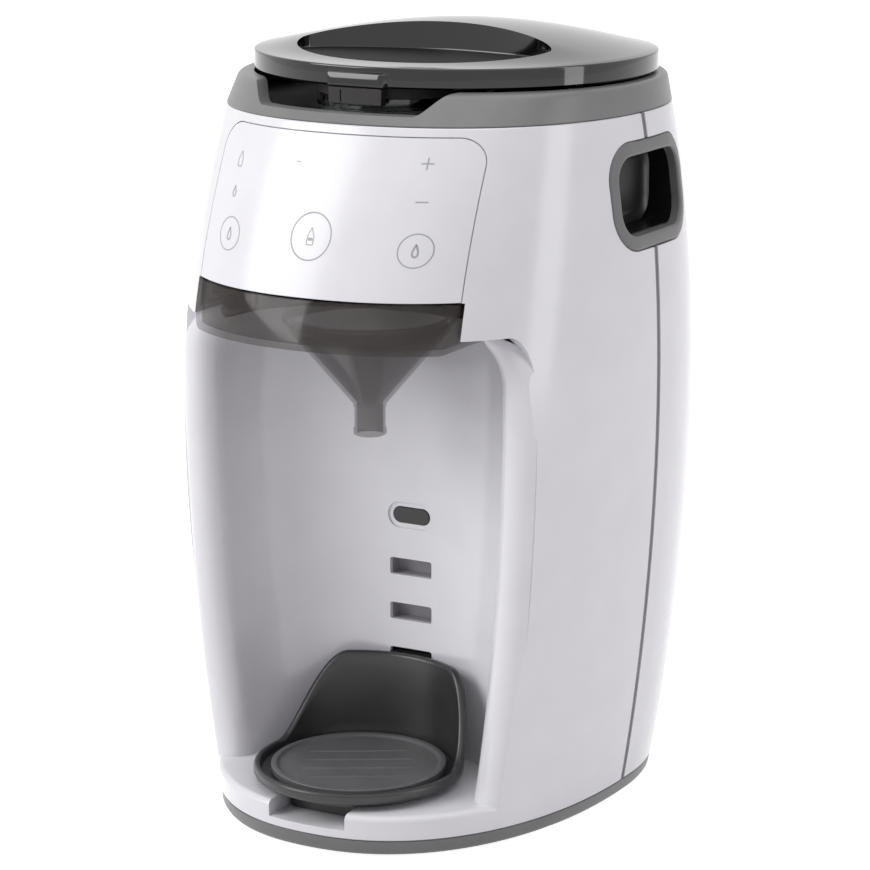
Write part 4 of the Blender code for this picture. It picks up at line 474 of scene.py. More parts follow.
# Drawn and ground stainless steel: shafts, screws and springs
STEEL = finish("ground_steel", ("B8B8BA", "C6C6C8"), (0.22, 0.34), 0.3 * MM, 0.004 * MM, Metallic=1.0)
# Glass-fibre circuit board under green lacquer
BOARD = finish("circuit_board", ("0F4A22", "14592B"), (0.34, 0.44), 0.9 * MM, 0.010 * MM, patch=9 * MM)
# Natural nylon: gears, rails and rotor, waxy off-white
NYLON = finish(
    "natural_nylon", ("D8D4C6", "E0DCCF"), (0.38, 0.48), 1.2 * MM, 0.008 * MM, Subsurface_Weight=0.10
)


# Casings

def alcove_half(z, grow):
    """Half width of the alcove at height z, drawn in under its rounded top corners."""
    width = half_width(z) - ALCOVE_SIDE + grow
    start = ALCOVE_CEILING + grow - ALCOVE_CORNER
    if z > start:
        rise = min((z - start) / ALCOVE_CORNER, 1)
        width -= ALCOVE_CORNER * (1 - math.sqrt(1 - rise * rise))
    return width


def alcove_section(z, grow):
    """Rounded back, two lips that flare outwards, and an open front."""
    width = alcove_half(z, grow)
    depth = ALCOVE_BACK_Y + grow - ALCOVE_MOUTH_Y
    lip = ALCOVE_LIP - grow
    points = []
    for i in range(ALCOVE_SEGMENTS + 1):
        angle = math.pi * i / ALCOVE_SEGMENTS
        x = width * power(math.cos(angle), 2 / ALCOVE_ROUNDNESS)
        points.append((x, ALCOVE_MOUTH_Y + depth * math.sin(angle) ** (2 / ALCOVE_ROUNDNESS)))
    lip_points = []
    for i in range(1, LIP_SEGMENTS + 1):
        angle = math.pi + LIP_SWEEP * i / LIP_SEGMENTS
        lip_points.append((width + lip + lip * math.cos(angle), ALCOVE_MOUTH_Y + lip * math.sin(angle)))
    last_x, last_y = lip_points[-1]
    edge = math.pi + LIP_SWEEP
    far_x = last_x + ALCOVE_SIDE * math.cos(edge)
    lip_points.append((far_x, last_y + ALCOVE_SIDE * math.sin(edge)))
    lip_points.append((far_x, -FRONT_DEPTH - OVERRUN))
    left = [(-x, y) for x, y in lip_points]
    return [Vector((x, y, z)) for x, y in points + left + list(reversed(lip_points))]


def alcove_solid(grow, low=ALCOVE_FLOOR):
    start = ALCOVE_CEILING + grow - ALCOVE_CORNER
    levels = between(low - grow, start, 24)
    for turn in between(0, math.pi / 2, 14)[1:]:
        levels.append(start + ALCOVE_CORNER * math.sin(turn))
    return skin([alcove_section(z, grow) for z in levels])


def panel_outline(spread, bottom):
    side = PANEL_HALF + spread
    return rounded_outline(-side, side, bottom, PANEL_TOP + spread, 0, PANEL_CORNER + spread)


def grip_outline(spread):
    low = GRIP_BOTTOM - spread
    high = GRIP_TOP + spread
    corner = GRIP_CORNER + spread
    return rounded_outline(GRIP_FRONT_Y - spread, GRIP_REAR_Y + spread, low, high, corner, corner, 16)


def window_outline(spread):
    half = WINDOW_HALF + spread
    high = WINDOW_HEIGHT / 2 + spread
    return rounded_outline(-half, half, WINDOW_Z - high, WINDOW_Z + high, high, high, 16)


def barrel(inset=0.0, low=BASE_TOP + GAP, high=BODY_TOP - GAP, edge=EDGE):
    """The casing's barrel between two heights, with small rounded end edges."""
    rings = [body_ring(low, inset + edge)] if edge else []
    for z in between(low + edge, high - edge, BODY_LEVELS):
        rings.append(body_ring(z, inset))
    if edge:
        rings.append(body_ring(high, inset + edge))
    return skin(rings)


def cut_grips(casing):
    for sign in (-1, 1):
        near = sign * (GRIP_FLOOR_X - GRIP_BACK - GAP)
        boolean(casing, extruded(grip_outline(GAP), facing_side, near, sign * (HALF_WIDTH + OVERRUN)))


def make_front_casing():
    """White front moulding: barrel front, alcove with its lips, shelf, bay, panel pocket and slots."""
    casing = shape("front_shell", barrel())
    hollow = shape("hollow", barrel(WALL, -OVERRUN, BODY_TOP + OVERRUN, 0))
    boolean(hollow, alcove_solid(WALL))
    notch_side = NOTCH_HALF + WALL
    boolean(hollow, box(-notch_side, notch_side, -FAR, NOTCH_REAR_Y + WALL, NOTCH_FLOOR - WALL, ALCOVE_FLOOR))
    boolean(casing, hollow)
    boolean(casing, box(-FAR, FAR, SEAM_Y - SEAM_WIDTH / 2 - GAP, FAR, -FAR, FAR))
    boolean(casing, alcove_solid(0, ALCOVE_FLOOR - SHELF_EDGE))
    rings = [body_ring(ALCOVE_FLOOR - 2 * SHELF_EDGE, 0), body_ring(ALCOVE_FLOOR - SHELF_EDGE, 0)]
    for drawn_in, below in quarter(SHELF_EDGE, 8)[1:]:
        rings.append(body_ring(ALCOVE_FLOOR - below, drawn_in))
    shelf = shape("shelf", skin(rings))
    ends = (ALCOVE_FLOOR - 3 * SHELF_EDGE, ALCOVE_FLOOR + SHELF_EDGE)
    region = [alcove_section(z, ALCOVE_OVERLAP) for z in ends]
    boolean(shelf, skin(region), "INTERSECT")
    boolean(casing, shelf, "UNION")
    boolean(casing, box(-NOTCH_HALF, NOTCH_HALF, -FAR, NOTCH_REAR_Y, NOTCH_FLOOR, ALCOVE_FLOOR + OVERRUN))
    boolean(casing, box(-BAY_HALF, BAY_HALF, -FAR, BAY_REAR_Y, BAY_BOTTOM, BAY_TOP))
    outline = panel_outline(PANEL_PLAY, BAY_TOP - PANEL_THICK)
    pocket = shape("pocket", extruded(outline, facing_front, -FAR, ALCOVE_BACK_Y))
    boolean(pocket, barrel(PANEL_THICK + GAP, BAY_BOTTOM, BODY_TOP + OVERRUN, 0))
    boolean(casing, pocket)
    for middle in SLOT_HEIGHTS:
        low = middle - SLOT_HEIGHT / 2
        outline = rounded_outline(-SLOT_HALF, SLOT_HALF, low, low + SLOT_HEIGHT, SLOT_CORNER, SLOT_CORNER, 6)
        boolean(casing, extruded(outline, facing_front, ALCOVE_BACK_Y - OVERRUN, CHASSIS_Y))
    boolean(casing, extruded(window_outline(GAP), facing_front, ALCOVE_BACK_Y - OVERRUN, CHASSIS_Y))
    border = window_outline(WINDOW_BORDER)
    recess = extruded(border, facing_front, ALCOVE_BACK_Y - OVERRUN, ALCOVE_BACK_Y + WINDOW_SUNK)
    boolean(casing, recess)
    cut_grips(casing)
    settle(casing, WHITE, 28, barrel=True)
    join_frame(casing, "machine", "casing_white", "front_casing")


def make_rear_casing():
    """White rear moulding with the opening for the mains inlet."""
    casing = shape("rear_shell", barrel())
    boolean(casing, barrel(WALL, -OVERRUN, BODY_TOP + OVERRUN, 0))
    boolean(casing, box(-FAR, FAR, -FAR, SEAM_Y + SEAM_WIDTH / 2 + GAP, -FAR, FAR))
    cut_grips(casing)
    low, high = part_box("mains_inlet")
    outline = rounded_outline(low[0] - GAP, high[0] + GAP, low[2] - GAP, high[2] + GAP, 0, 0)
    boolean(casing, extruded(outline, facing_front, REAR_DEPTH / 2, FAR))
    settle(casing, WHITE, 28, barrel=True)
    join_frame(casing, "machine", "casing_white", "rear_casing")


def make_touch_panel():
    """Printed panel, flush with the casing inside a fine shadow gap."""
    low = PANEL_TOP - PANEL_CORNER
    levels = between(PANEL_BOTTOM, low, 20)
    levels += [low + PANEL_CORNER * math.sin(turn) for turn in between(0, math.pi / 2, 14)[1:]]
    rings = []
    for z in levels:
        rise = max(z - low, 0)
        half = PANEL_HALF - PANEL_CORNER + math.sqrt(max(PANEL_CORNER ** 2 - rise ** 2, 0))
        places = [half * (2 * i / 64 - 1) for i in range(65)]
        front = [Vector((x, surface_y(x, z), z)) for x in places]
        back = [Vector((x, surface_y(x, z) + PANEL_THICK, z)) for x in reversed(places)]
        rings.append(front + back)
    panel = settle(shape("printed_panel", skin(rings)), FILM, 30, barrel=True)
    join_frame(panel, "machine", "casing_white", "touch_panel")


# Collar, lid and latch

COLLAR_TOP = 0.3485
COLLAR_HALF = 0.10151
COLLAR_FRONT = 0.0960
COLLAR_REAR = 0.0960
COLLAR_WALL = 0.0075
COLLAR_ROUND = 0.0022
NOTCH_SILL_Z = 0.3390
NOTCH_RIGHT = (0.0340, 0.0465)
NOTCH_LEFT = (0.0470, 0.0640)
LID_HALF = 0.09701
LID_FRONT = 0.0930
LID_ROUNDNESS = 2.0
LID_REAR = 0.0935
LID_BOTTOM = 0.3495
LID_RIM_TOP = 0.3590
LID_CROWN = 0.0125
CROWN_START_Y = -0.0890
CROWN_RUN = 0.0720
LID_CROWN_POWER = 1.15
LID_CROWN_SHIFT = 0.0100
LID_WALL = 0.0024
LID_ROUND = 0.0009
POCKET_HALF = 0.0660
POCKET_FRONT = 0.0450
POCKET_REAR = 0.0240
POCKET_Y = -0.0300
POCKET_FLOOR = 0.3575
POCKET_POINT = 1.18
POCKET_DRAFT = 0.0010
PAD_ROOT = 0.0010
TAB_HALF = 0.0135
TAB_SHOULDER = 0.0040
TAB_REACH = 0.0022
TAB_SET_IN = 0.0010
TAB_HEIGHT = 0.0066
LATCH_HALF = 0.0140
LATCH_HEIGHT = 0.0079
LATCH_THICK = 0.0055
LATCH_CORNER = 0.0012
LATCH_EDGE = 0.0004
LATCH_GROOVE_IN = 0.0065
LATCH_GROOVE_WIDTH = 0.0008
LATCH_GROOVE_DEEP = 0.0006
HINGE_Y = 0.0985
HINGE_Z = 0.3530
KNUCKLE_RADIUS = 0.0032
KNUCKLE_HALF = 0.0200
EAR_WIDTH = 0.0090
PIN_RADIUS = 0.0014
MIN_CORNER = 0.0001


def smooth_step(share):
    share = min(max(share, 0), 1)
    return share * share * (3 - 2 * share)


def along_x(x0, x1, y, z, radius):
    return extruded(circle(y, z, radius, 32), facing_side, x0, x1)


def collar_ring(z, inset):
    """Collar plan: the casing's own plan below, drawn in towards its top edge."""
    share = (z - BODY_TOP) / (COLLAR_TOP - BODY_TOP)
    width = half_width(BODY_TOP) + (COLLAR_HALF - half_width(BODY_TOP)) * share
    front = front_depth(BODY_TOP) + (COLLAR_FRONT - front_depth(BODY_TOP)) * share
    rear = rear_depth(BODY_TOP) + (COLLAR_REAR - rear_depth(BODY_TOP)) * share
    return plan_ring(width - inset, front - inset, rear - inset, z)


def make_collar():
    """Grey collar with rounded edges, a soft-cornered notch in front and two hinge ears."""
    rings = [collar_ring(BODY_TOP, EDGE)]
    for z in between(BODY_TOP + EDGE, COLLAR_TOP - COLLAR_ROUND, 8):
        rings.append(collar_ring(z, 0))
    for drawn_in, below in quarter(COLLAR_ROUND, 8)[1:]:
        rings.append(collar_ring(COLLAR_TOP - below, drawn_in))
    collar = shape("collar_ring", skin(rings))
    for sign in (-1, 1):
        near = sign * (KNUCKLE_HALF + GAP)
        far = sign * (KNUCKLE_HALF + EAR_WIDTH)
        boolean(collar, along_x(near, far, HINGE_Y, HINGE_Z, KNUCKLE_RADIUS), "UNION")
        high = HINGE_Z - KNUCKLE_RADIUS / 2
        foot = box(near, far, HINGE_Y - 2 * KNUCKLE_RADIUS, HINGE_Y, BODY_TOP + WALL, high)
        boolean(collar, foot, "UNION")
    inside = [collar_ring(BODY_TOP - OVERRUN, COLLAR_WALL)]
    inside.append(collar_ring(COLLAR_TOP - COLLAR_ROUND / 2, COLLAR_WALL))
    inside.append(collar_ring(COLLAR_TOP + EDGE, COLLAR_WALL - COLLAR_ROUND / 2))
    boolean(collar, skin(inside))
    high = COLLAR_TOP + OVERRUN
    notch = []
    for sign, (flat, end) in ((-1, NOTCH_LEFT), (1, NOTCH_RIGHT)):
        slope = []
        for x in between(flat, end, 16):
            rise = smooth_step((x - flat) / (end - flat))
            slope.append((sign * x, NOTCH_SILL_Z + (COLLAR_TOP - NOTCH_SILL_Z) * rise))
        slope.append((sign * end, high))
        notch += slope if sign > 0 else list(reversed(slope))
    boolean(collar, extruded(notch, facing_front, -FAR, -COLLAR_FRONT / 2))
    boolean(collar, along_x(-HALF_WIDTH, HALF_WIDTH, HINGE_Y, HINGE_Z, PIN_RADIUS + GAP))
    room = KNUCKLE_RADIUS + 2 * GAP
    boolean(collar, along_x(-KNUCKLE_HALF - GAP / 2, KNUCKLE_HALF + GAP / 2, HINGE_Y, HINGE_Z, room))
    join_frame(settle(collar, COLLAR_GREY, 40), "machine", "mid_grey", "top_collar")


def lid_ring(share, z, inset=0.0):
    width, front, rear = LID_HALF - inset, LID_FRONT - inset, LID_REAR - inset
    shift = Vector((0, LID_CROWN_SHIFT * (1 - share), 0))
    ring = plan_ring(width * share, front * share, rear * share, z, BODY_SEGMENTS, LID_ROUNDNESS)
    return [point + shift for point in ring]


def lid_dome(inset, low, rounding):
    """Domed solid of the lid: upright rim, small edge rounding, then the crown."""
    rings = [lid_ring(1, low, inset + rounding), lid_ring(1, low + rounding, inset)]
    top = LID_RIM_TOP - inset
    rings.append(lid_ring(1, top - rounding, inset))
    for drawn_in, below in quarter(rounding, 5)[1:]:
        rings.append(lid_ring(1, top - below, inset + drawn_in))
    for share in between(0.985, 0.02, 36):
        rise = LID_CROWN * (1 - share * share) ** LID_CROWN_POWER
        ring = []
        for point in lid_ring(share, top, inset):
            ease = smooth_step((point.y - CROWN_START_Y) / CROWN_RUN)
            ring.append(point + Vector((0, 0, rise * ease)))
        rings.append(ring)
    return skin(rings)


def pocket_ring(z, grow):
    ring = []
    for angle in full_turn(128):
        deep = (POCKET_REAR if angle < math.pi else POCKET_FRONT) + grow
        y = POCKET_Y + deep * power(math.sin(angle), POCKET_POINT)
        ring.append(Vector(((POCKET_HALF + grow) * math.cos(angle), y, z)))
    return ring


def pocket_solid(spread, low, rounding):
    """Finger pocket of the lid: a pointed oval with sloping, rounded walls."""
    high = LID_RIM_TOP + LID_CROWN + OVERRUN
    steps = [(low + rise, -inward) for rise, inward in quarter(rounding, 6)]
    steps.append((high, POCKET_DRAFT))
    return skin([pocket_ring(z, spread + grow) for z, grow in steps])


def tab_outline(inset):
    """Plan of the pull tab: it swells out of the lid's rim with soft shoulders."""
    points = []
    wide = TAB_HALF + TAB_SHOULDER
    for x in between(-wide + inset, wide - inset, 40):
        out = TAB_REACH * smooth_step((wide - abs(x)) / TAB_SHOULDER)
        points.append((x, -LID_FRONT + LID_WALL / 2 - 2 * out + TAB_SET_IN + inset))
    points += [(wide - inset, -LID_FRONT + 2 * LID_WALL), (-wide + inset, -LID_FRONT + 2 * LID_WALL)]
    return points


def make_lid():
    """Polished black lid with its finger pocket, pull tab and hinge knuckle."""
    lid = shape("lid_dome", lid_dome(0, LID_BOTTOM, LID_ROUND))
    low = LID_BOTTOM + GAP
    high = LID_BOTTOM + TAB_HEIGHT
    levels = ((low, 0.0004), (low + 0.0004, 0), (high - 0.0009, 0), (high - 0.0003, 0.0003), (high, 0.0009))
    boolean(lid, skin([[Vector((x, y, z)) for x, y in tab_outline(inset)] for z, inset in levels]), "UNION")
    knuckle = KNUCKLE_HALF - GAP
    boolean(lid, along_x(-knuckle, knuckle, HINGE_Y, HINGE_Z, KNUCKLE_RADIUS), "UNION")
    link_low = HINGE_Z - KNUCKLE_RADIUS / 2
    link = box(-knuckle, knuckle, LID_REAR - 2 * LID_WALL, HINGE_Y, link_low, HINGE_Z + KNUCKLE_RADIUS)
    boolean(lid, link, "UNION")
    inside = shape("lid_inside", lid_dome(LID_WALL, LID_BOTTOM - OVERRUN, 0.0002))
    boolean(inside, pocket_solid(LID_WALL, POCKET_FLOOR - LID_WALL, 0.0005))
    boolean(lid, inside)
    boolean(lid, pocket_solid(0, POCKET_FLOOR, PAD_ROOT))
    boolean(lid, along_x(-KNUCKLE_HALF, KNUCKLE_HALF, HINGE_Y, HINGE_Z, PIN_RADIUS + GAP))
    for sign in (-1, 1):
        near = sign * KNUCKLE_HALF
        far = sign * (KNUCKLE_HALF + EAR_WIDTH + 2 * GAP)
        room = HINGE_Y - 2 * KNUCKLE_RADIUS - GAP
        boolean(lid, box(near, far, room, FAR, 0, HINGE_Z + 2 * KNUCKLE_RADIUS))
    join_frame(settle(lid, LACQUER, 35), "lid", "lid_black", "lid")
    pad_levels = (
        (POCKET_FLOOR - GAP / 2, -PAD_ROOT),
        (POCKET_FLOOR + GAP, -PAD_ROOT),
        (POCKET_FLOOR + 1.5 * GAP, -1.4 * PAD_ROOT),
    )
    pad = shape("pocket_pad", skin([pocket_ring(z, grow) for z, grow in pad_levels]))
    join_frame(settle(pad, SOFT_BLACK, 40), "lid", "lid_black")


def rounded_block(x0, x1, y0, y1, z0, z1, corner, edge):
    """Upright block with rounded corners and a small edge all round."""
    levels = ((z0, edge), (z0 + edge, 0), (z1 - edge, 0), (z1, edge))
    rings = []
    for z, inset in levels:
        turned_corner = max(corner - inset, MIN_CORNER)
        sides = (x0 + inset, x1 - inset, y0 + inset, y1 - inset)
        outline = rounded_outline(*sides, turned_corner, turned_corner, 6)
        rings.append([Vector((x, y, z)) for x, y in outline])
    return skin(rings)


def make_latch():
    """Smoked latch below the tab, with the groove its spring sits behind."""
    front = -LID_FRONT - TAB_REACH
    low = LID_BOTTOM - LATCH_HEIGHT
    block = rounded_block(
        -LATCH_HALF, LATCH_HALF, front, front + LATCH_THICK, low, LID_BOTTOM, LATCH_CORNER, LATCH_EDGE
    )
    latch = shape("latch_block", block)
    near = -LATCH_HALF + LATCH_GROOVE_IN
    far = near + LATCH_GROOVE_WIDTH
    bottom = low + LATCH_CORNER
    groove = box(near, far, front - OVERRUN, front + LATCH_GROOVE_DEEP, bottom, LID_BOTTOM - LATCH_CORNER)
    boolean(latch, groove)
    join_frame(settle(latch, DARK_SMOKE, 35), "lid", "smoked_clear", "lid_latch")


# Stand and its plate

STAND_RADIUS = 0.0500
STAND_Y = -0.0953
STAND_FOOT_RADIUS = 0.0420
STAND_FOOT_TOP = 0.0240
STAND_RIM_TOP = 0.0295
STAND_FLOOR = 0.0250
STAND_BACK_TOP = 0.0685
STAND_BACK_FLARE = 0.0035
STAND_RIM_WALL = 0.0034
STAND_BACK_WALL = 0.0044
STAND_BACK_FULL = math.radians(34)
STAND_BACK_LOW = math.radians(84)
HOOK_HALF = 0.0109
HOOK_BOTTOM = 0.0624
HOOK_HEIGHT = 0.0056
HOOK_REACH = 0.0058
LUG_HALF = 0.0190
LUG_FRONT = 0.0330
LUG_REAR = 0.0200
LUG_CORNER = 0.0030
SMALL_EDGE = 0.0004
FOOT_TURN = 0.0012
RISE_START = 0.0020
PLATE_RADIUS = 0.0418
PLATE_TOP = 0.0288
PLATE_BORDER = 0.0022
PLATE_DISH = 0.0014
PLATE_ROUND = 0.0006
PLATE_SAG = 0.0004
RIB_SLANT = math.radians(30)
RIB_PLACES = (-0.018, -0.006, 0.006, 0.018)
RIB_REACH = 0.72
RIB_LEVELS = ((-0.0012, 0.0013), (0.0002, 0.0005))


def back_share(angle):
    """Height share of the stand's wall at an angle from the rear: 1 behind, 0 in front."""
    turn = abs(angle)
    fall = smooth_step((turn - STAND_BACK_FULL) / (STAND_BACK_LOW - STAND_BACK_FULL))
    return 1 - fall


def make_stand():
    """Dark bottle stand: a dish whose rim sweeps up into a high curved back."""
    rows = []
    segments = 144
    for angle in full_turn(segments):
        share = back_share((angle + math.pi) % (2 * math.pi) - math.pi)
        top = STAND_RIM_TOP + (STAND_BACK_TOP - STAND_RIM_TOP) * share
        flare = STAND_BACK_FLARE * share
        wall = STAND_RIM_WALL + (STAND_BACK_WALL - STAND_RIM_WALL) * share
        half = wall / 2
        under = STAND_RADIUS - STAND_FOOT_RADIUS
        loop = [
            (-under, 0, ALCOVE_FLOOR + GAP),
            (-under, 0, STAND_FOOT_TOP - SMALL_EDGE),
            (-under + SMALL_EDGE, 0, STAND_FOOT_TOP),
            (-FOOT_TURN, 0, STAND_FOOT_TOP),
            (-SMALL_EDGE, 0, STAND_FOOT_TOP + SMALL_EDGE),
            (0, 0, STAND_FOOT_TOP + FOOT_TURN),
        ]
        for rise in (0.35, 0.65, 0.85):
            climb = (top - half - STAND_FOOT_TOP - FOOT_TURN) * rise
            loop.append((0, flare * rise, STAND_FOOT_TOP + FOOT_TURN + climb))
        for turn in between(0, math.pi, 8):
            loop.append((-half + half * math.cos(turn), flare, top - half + half * math.sin(turn)))
        low = STAND_FLOOR + RISE_START
        for rise in (0.85, 0.6, 0.35, 0.15):
            loop.append((-wall, flare * rise, low + (top - half - low) * rise))
        loop.append((-wall, 0, low))
        loop.append((-wall - FOOT_TURN / 2, 0, STAND_FLOOR + FOOT_TURN / 2))
        loop.append((-wall - RISE_START, 0, STAND_FLOOR))
        loop.append((PLATE_RADIUS + GAP - STAND_RADIUS, 0, STAND_FLOOR))
        s = math.sin(angle)
        c = math.cos(angle)
        row = []
        for r, extra, z in loop:
            row.append(Vector(((STAND_RADIUS + r + extra) * s, STAND_Y + (STAND_RADIUS + r) * c, z)))
        rows.append(row)
    bm = bmesh.new()
    rows = [[bm.verts.new(p) for p in row] for row in rows]
    for i, near in enumerate(rows):
        far = rows[(i + 1) % segments]
        for j in range(len(near) - 1):
            bm.faces.new((near[j], near[j + 1], far[j + 1], far[j]))
    bm.faces.new([row[0] for row in rows])
    bm.faces.new([row[-1] for row in reversed(rows)])
    stand = shape("stand_dish", bm)
    rear = STAND_Y + STAND_RADIUS
    root = rear - STAND_BACK_WALL / 2
    hook = box(-HOOK_HALF, HOOK_HALF, root, rear + HOOK_REACH, HOOK_BOTTOM, HOOK_BOTTOM + HOOK_HEIGHT)
    boolean(stand, hook, "UNION")
    near = STAND_Y - LUG_FRONT
    far = STAND_Y - LUG_REAR - GAP
    lug = rounded_block(
        -LUG_HALF, LUG_HALF, near, far, NOTCH_FLOOR + GAP, STAND_FOOT_TOP, LUG_CORNER, SMALL_EDGE
    )
    boolean(stand, lug, "UNION")
    join_frame(settle(stand, DARK, 38), "stand", "stand_grey", "bottle_stand")


def make_plate():
    """Plate in the stand: a raised border round a shallow dish with four faint ribs."""
    low = STAND_FLOOR + GAP
    inner = PLATE_RADIUS - 2 * PLATE_BORDER
    profile = [(PLATE_RADIUS - SMALL_EDGE, low), (PLATE_RADIUS, low + SMALL_EDGE)]
    profile.append((PLATE_RADIUS, PLATE_TOP - PLATE_ROUND))
    profile += [(PLATE_RADIUS - inward, PLATE_TOP - below) for inward, below in quarter(PLATE_ROUND, 5)[1:]]
    profile.append((PLATE_RADIUS - PLATE_BORDER, PLATE_TOP))
    for share in between(0, 1, 6)[1:]:
        radius = PLATE_RADIUS - PLATE_BORDER * (1 + share)
        profile.append((radius, PLATE_TOP - PLATE_DISH * smooth_step(share)))
    for share in between(1, 0.06, 8)[1:]:
        profile.append((inner * share, PLATE_TOP - PLATE_DISH - PLATE_SAG * (1 - share * share)))
    plate = shape("stand_plate", turned(profile, 0, STAND_Y, 128))
    c = math.cos(RIB_SLANT)
    s = math.sin(RIB_SLANT)
    for place in RIB_PLACES:
        half = RIB_REACH * math.sqrt(inner ** 2 - place ** 2)
        rings = []
        for rise, side in RIB_LEVELS:
            ring = []
            for u, v in ((-half, -side), (half, -side), (half, side), (-half, side)):
                x = u * c - (v + place) * s
                y = u * s + (v + place) * c
                ring.append(Vector((x, STAND_Y + y, PLATE_TOP - PLATE_DISH + rise)))
            rings.append(ring)
        boolean(plate, skin(rings), "UNION")
    join_frame(settle(plate, PLATE, 30), "drip", "stand_grey", "drip_plate")


# Drawer and funnel

DRAWER_HALF = 0.0683
DRAWER_BOTTOM = 0.2381
DRAWER_TOP = 0.2598
DRAWER_REAR_Y = -0.0390
DRAWER_WALL = 0.0023
DRAWER_CORNER = 0.0055
GROOVE_BOTTOM = 0.2480
GROOVE_HEIGHT = 0.0026
GROOVE_DEPTH = 0.0013
GROOVE_FRONT_Y = -0.1100
FUNNEL_Y = -0.0827
FUNNEL_MOUTH = 0.0380
FUNNEL_RIM = 0.0410
CONE_TOP = 0.2365
CONE_BOTTOM = 0.2007
NOZZLE_BOTTOM = 0.1858
NOZZLE_RADIUS = 0.0078
FUNNEL_WALL = 0.0016
FUNNEL_RIM_THICK = 0.0020
NOZZLE_LIP = 0.0005


def make_drawer():
    """Smoked drawer that follows the casing in front, with a floor hole for the funnel."""
    outline = rounded_outline(-DRAWER_HALF, DRAWER_HALF, DRAWER_BOTTOM, DRAWER_TOP, DRAWER_CORNER, 0, 12)
    drawer = shape("drawer_box", extruded(outline, facing_front, -FAR, DRAWER_REAR_Y))
    boolean(drawer, barrel(0, DRAWER_BOTTOM - OVERRUN, DRAWER_TOP + OVERRUN, 0), "INTERSECT")
    inner = rounded_outline(
        -DRAWER_HALF + DRAWER_WALL, DRAWER_HALF - DRAWER_WALL, DRAWER_BOTTOM + DRAWER_WALL, BODY_TOP,
        DRAWER_CORNER - DRAWER_WALL, 0, 8
    )
    cavity = shape("cavity", extruded(inner, facing_front, -FAR, DRAWER_REAR_Y - DRAWER_WALL))
    within = barrel(DRAWER_WALL, DRAWER_BOTTOM - OVERRUN, DRAWER_TOP + 2 * OVERRUN, 0)
    boolean(cavity, within, "INTERSECT")
    boolean(drawer, cavity)
    hole = FUNNEL_MOUTH + 2 * GAP
    floor = DRAWER_BOTTOM + DRAWER_WALL
    boolean(drawer, turned(((hole, DRAWER_BOTTOM - OVERRUN), (hole, floor + OVERRUN)), 0, FUNNEL_Y))
    for sign in (-1, 1):
        near = sign * (DRAWER_HALF - GROOVE_DEPTH)
        groove = box(near, sign * HALF_WIDTH, GROOVE_FRONT_Y, 0, GROOVE_BOTTOM, GROOVE_BOTTOM + GROOVE_HEIGHT)
        boolean(drawer, groove)
    join_frame(settle(drawer, SMOKE, 30, barrel=True), "drawer", "smoked_clear", "funnel_drawer")


def make_funnel():
    """Smoked funnel with a flange, a straight cone and a lipped nozzle."""
    low = DRAWER_BOTTOM + DRAWER_WALL + GAP
    top = low + FUNNEL_RIM_THICK
    wall = FUNNEL_WALL
    throat = NOZZLE_RADIUS - wall
    profile = [
        (NOZZLE_RADIUS - wall / 2, NOZZLE_BOTTOM),
        (NOZZLE_RADIUS, NOZZLE_BOTTOM + wall / 3),
        (NOZZLE_RADIUS, NOZZLE_BOTTOM + 2 * wall),
        (NOZZLE_RADIUS - NOZZLE_LIP, NOZZLE_BOTTOM + 2.3 * wall),
        (NOZZLE_RADIUS - NOZZLE_LIP, CONE_BOTTOM - wall),
        (NOZZLE_RADIUS, CONE_BOTTOM - 0.7 * wall),
        (NOZZLE_RADIUS, CONE_BOTTOM),
        (FUNNEL_MOUTH, CONE_TOP),
        (FUNNEL_MOUTH, low),
        (FUNNEL_RIM - GAP, low),
        (FUNNEL_RIM, low + GAP),
        (FUNNEL_RIM, top - 2 * GAP),
        (FUNNEL_RIM - 2 * GAP, top),
        (FUNNEL_MOUTH - wall, top),
        (FUNNEL_MOUTH - wall, CONE_TOP + wall / 2),
        (throat, CONE_BOTTOM + wall / 2),
        (throat, NOZZLE_BOTTOM),
    ]
    funnel = settle(shape("funnel_cone", turned_shell(profile, 0, FUNNEL_Y)), SMOKE, 25)
    join_frame(funnel, "funnel", "smoked_clear", "funnel")


# Grips, seam strips, base ring and small parts of the casing

def make_grips():
    """Grey finger cups: a rounded rim that follows the casing, and a deep rounded pocket."""
    lip = GRIP_LIP
    root = GRIP_ROOT
    for side, sign in (("left", -1), ("right", 1)):
        steps = [(0, None), (0, lip)]
        steps += [(-inward, depth) for inward, depth in quarter(lip, 5)[1:]]
        steps += [(-GRIP_RIM + outward, depth) for depth, outward in quarter(lip, 6)]
        rings = []
        for spread, depth in steps:
            ring = []
            for y, z in grip_outline(spread):
                x = GRIP_FLOOR_X - GRIP_BACK if depth is None else surface_x(y, z) + GRIP_PROUD - depth
                ring.append(Vector((sign * x, y, z)))
            rings.append(ring)
        for inward, rise in quarter(root, 6):
            x = GRIP_FLOOR_X + rise
            outline = grip_outline(-GRIP_RIM - inward)
            rings.append([Vector((sign * x, y, z)) for y, z in outline])
        cup = settle(shape("grip_" + side, skin(rings)), GREY, 50)
        join_frame(cup, "machine", "mid_grey", "grip_cup_" + side)


def base_outline_rings():
    """Heights and setbacks of the base ring, from its soft lower edge to its top."""
    low = BASE_LOW
    levels = (
        (low, BASE_SETBACK + BASE_ROUND),
        (low + SMALL_EDGE, BASE_SETBACK + 2 * SMALL_EDGE),
        (low + BASE_ROUND, BASE_SETBACK),
        (BASE_TOP - BASE_SETBACK, BASE_SETBACK),
        (BASE_TOP, 2 * BASE_SETBACK),
    )
    return [body_ring(z, inset) for z, inset in levels]


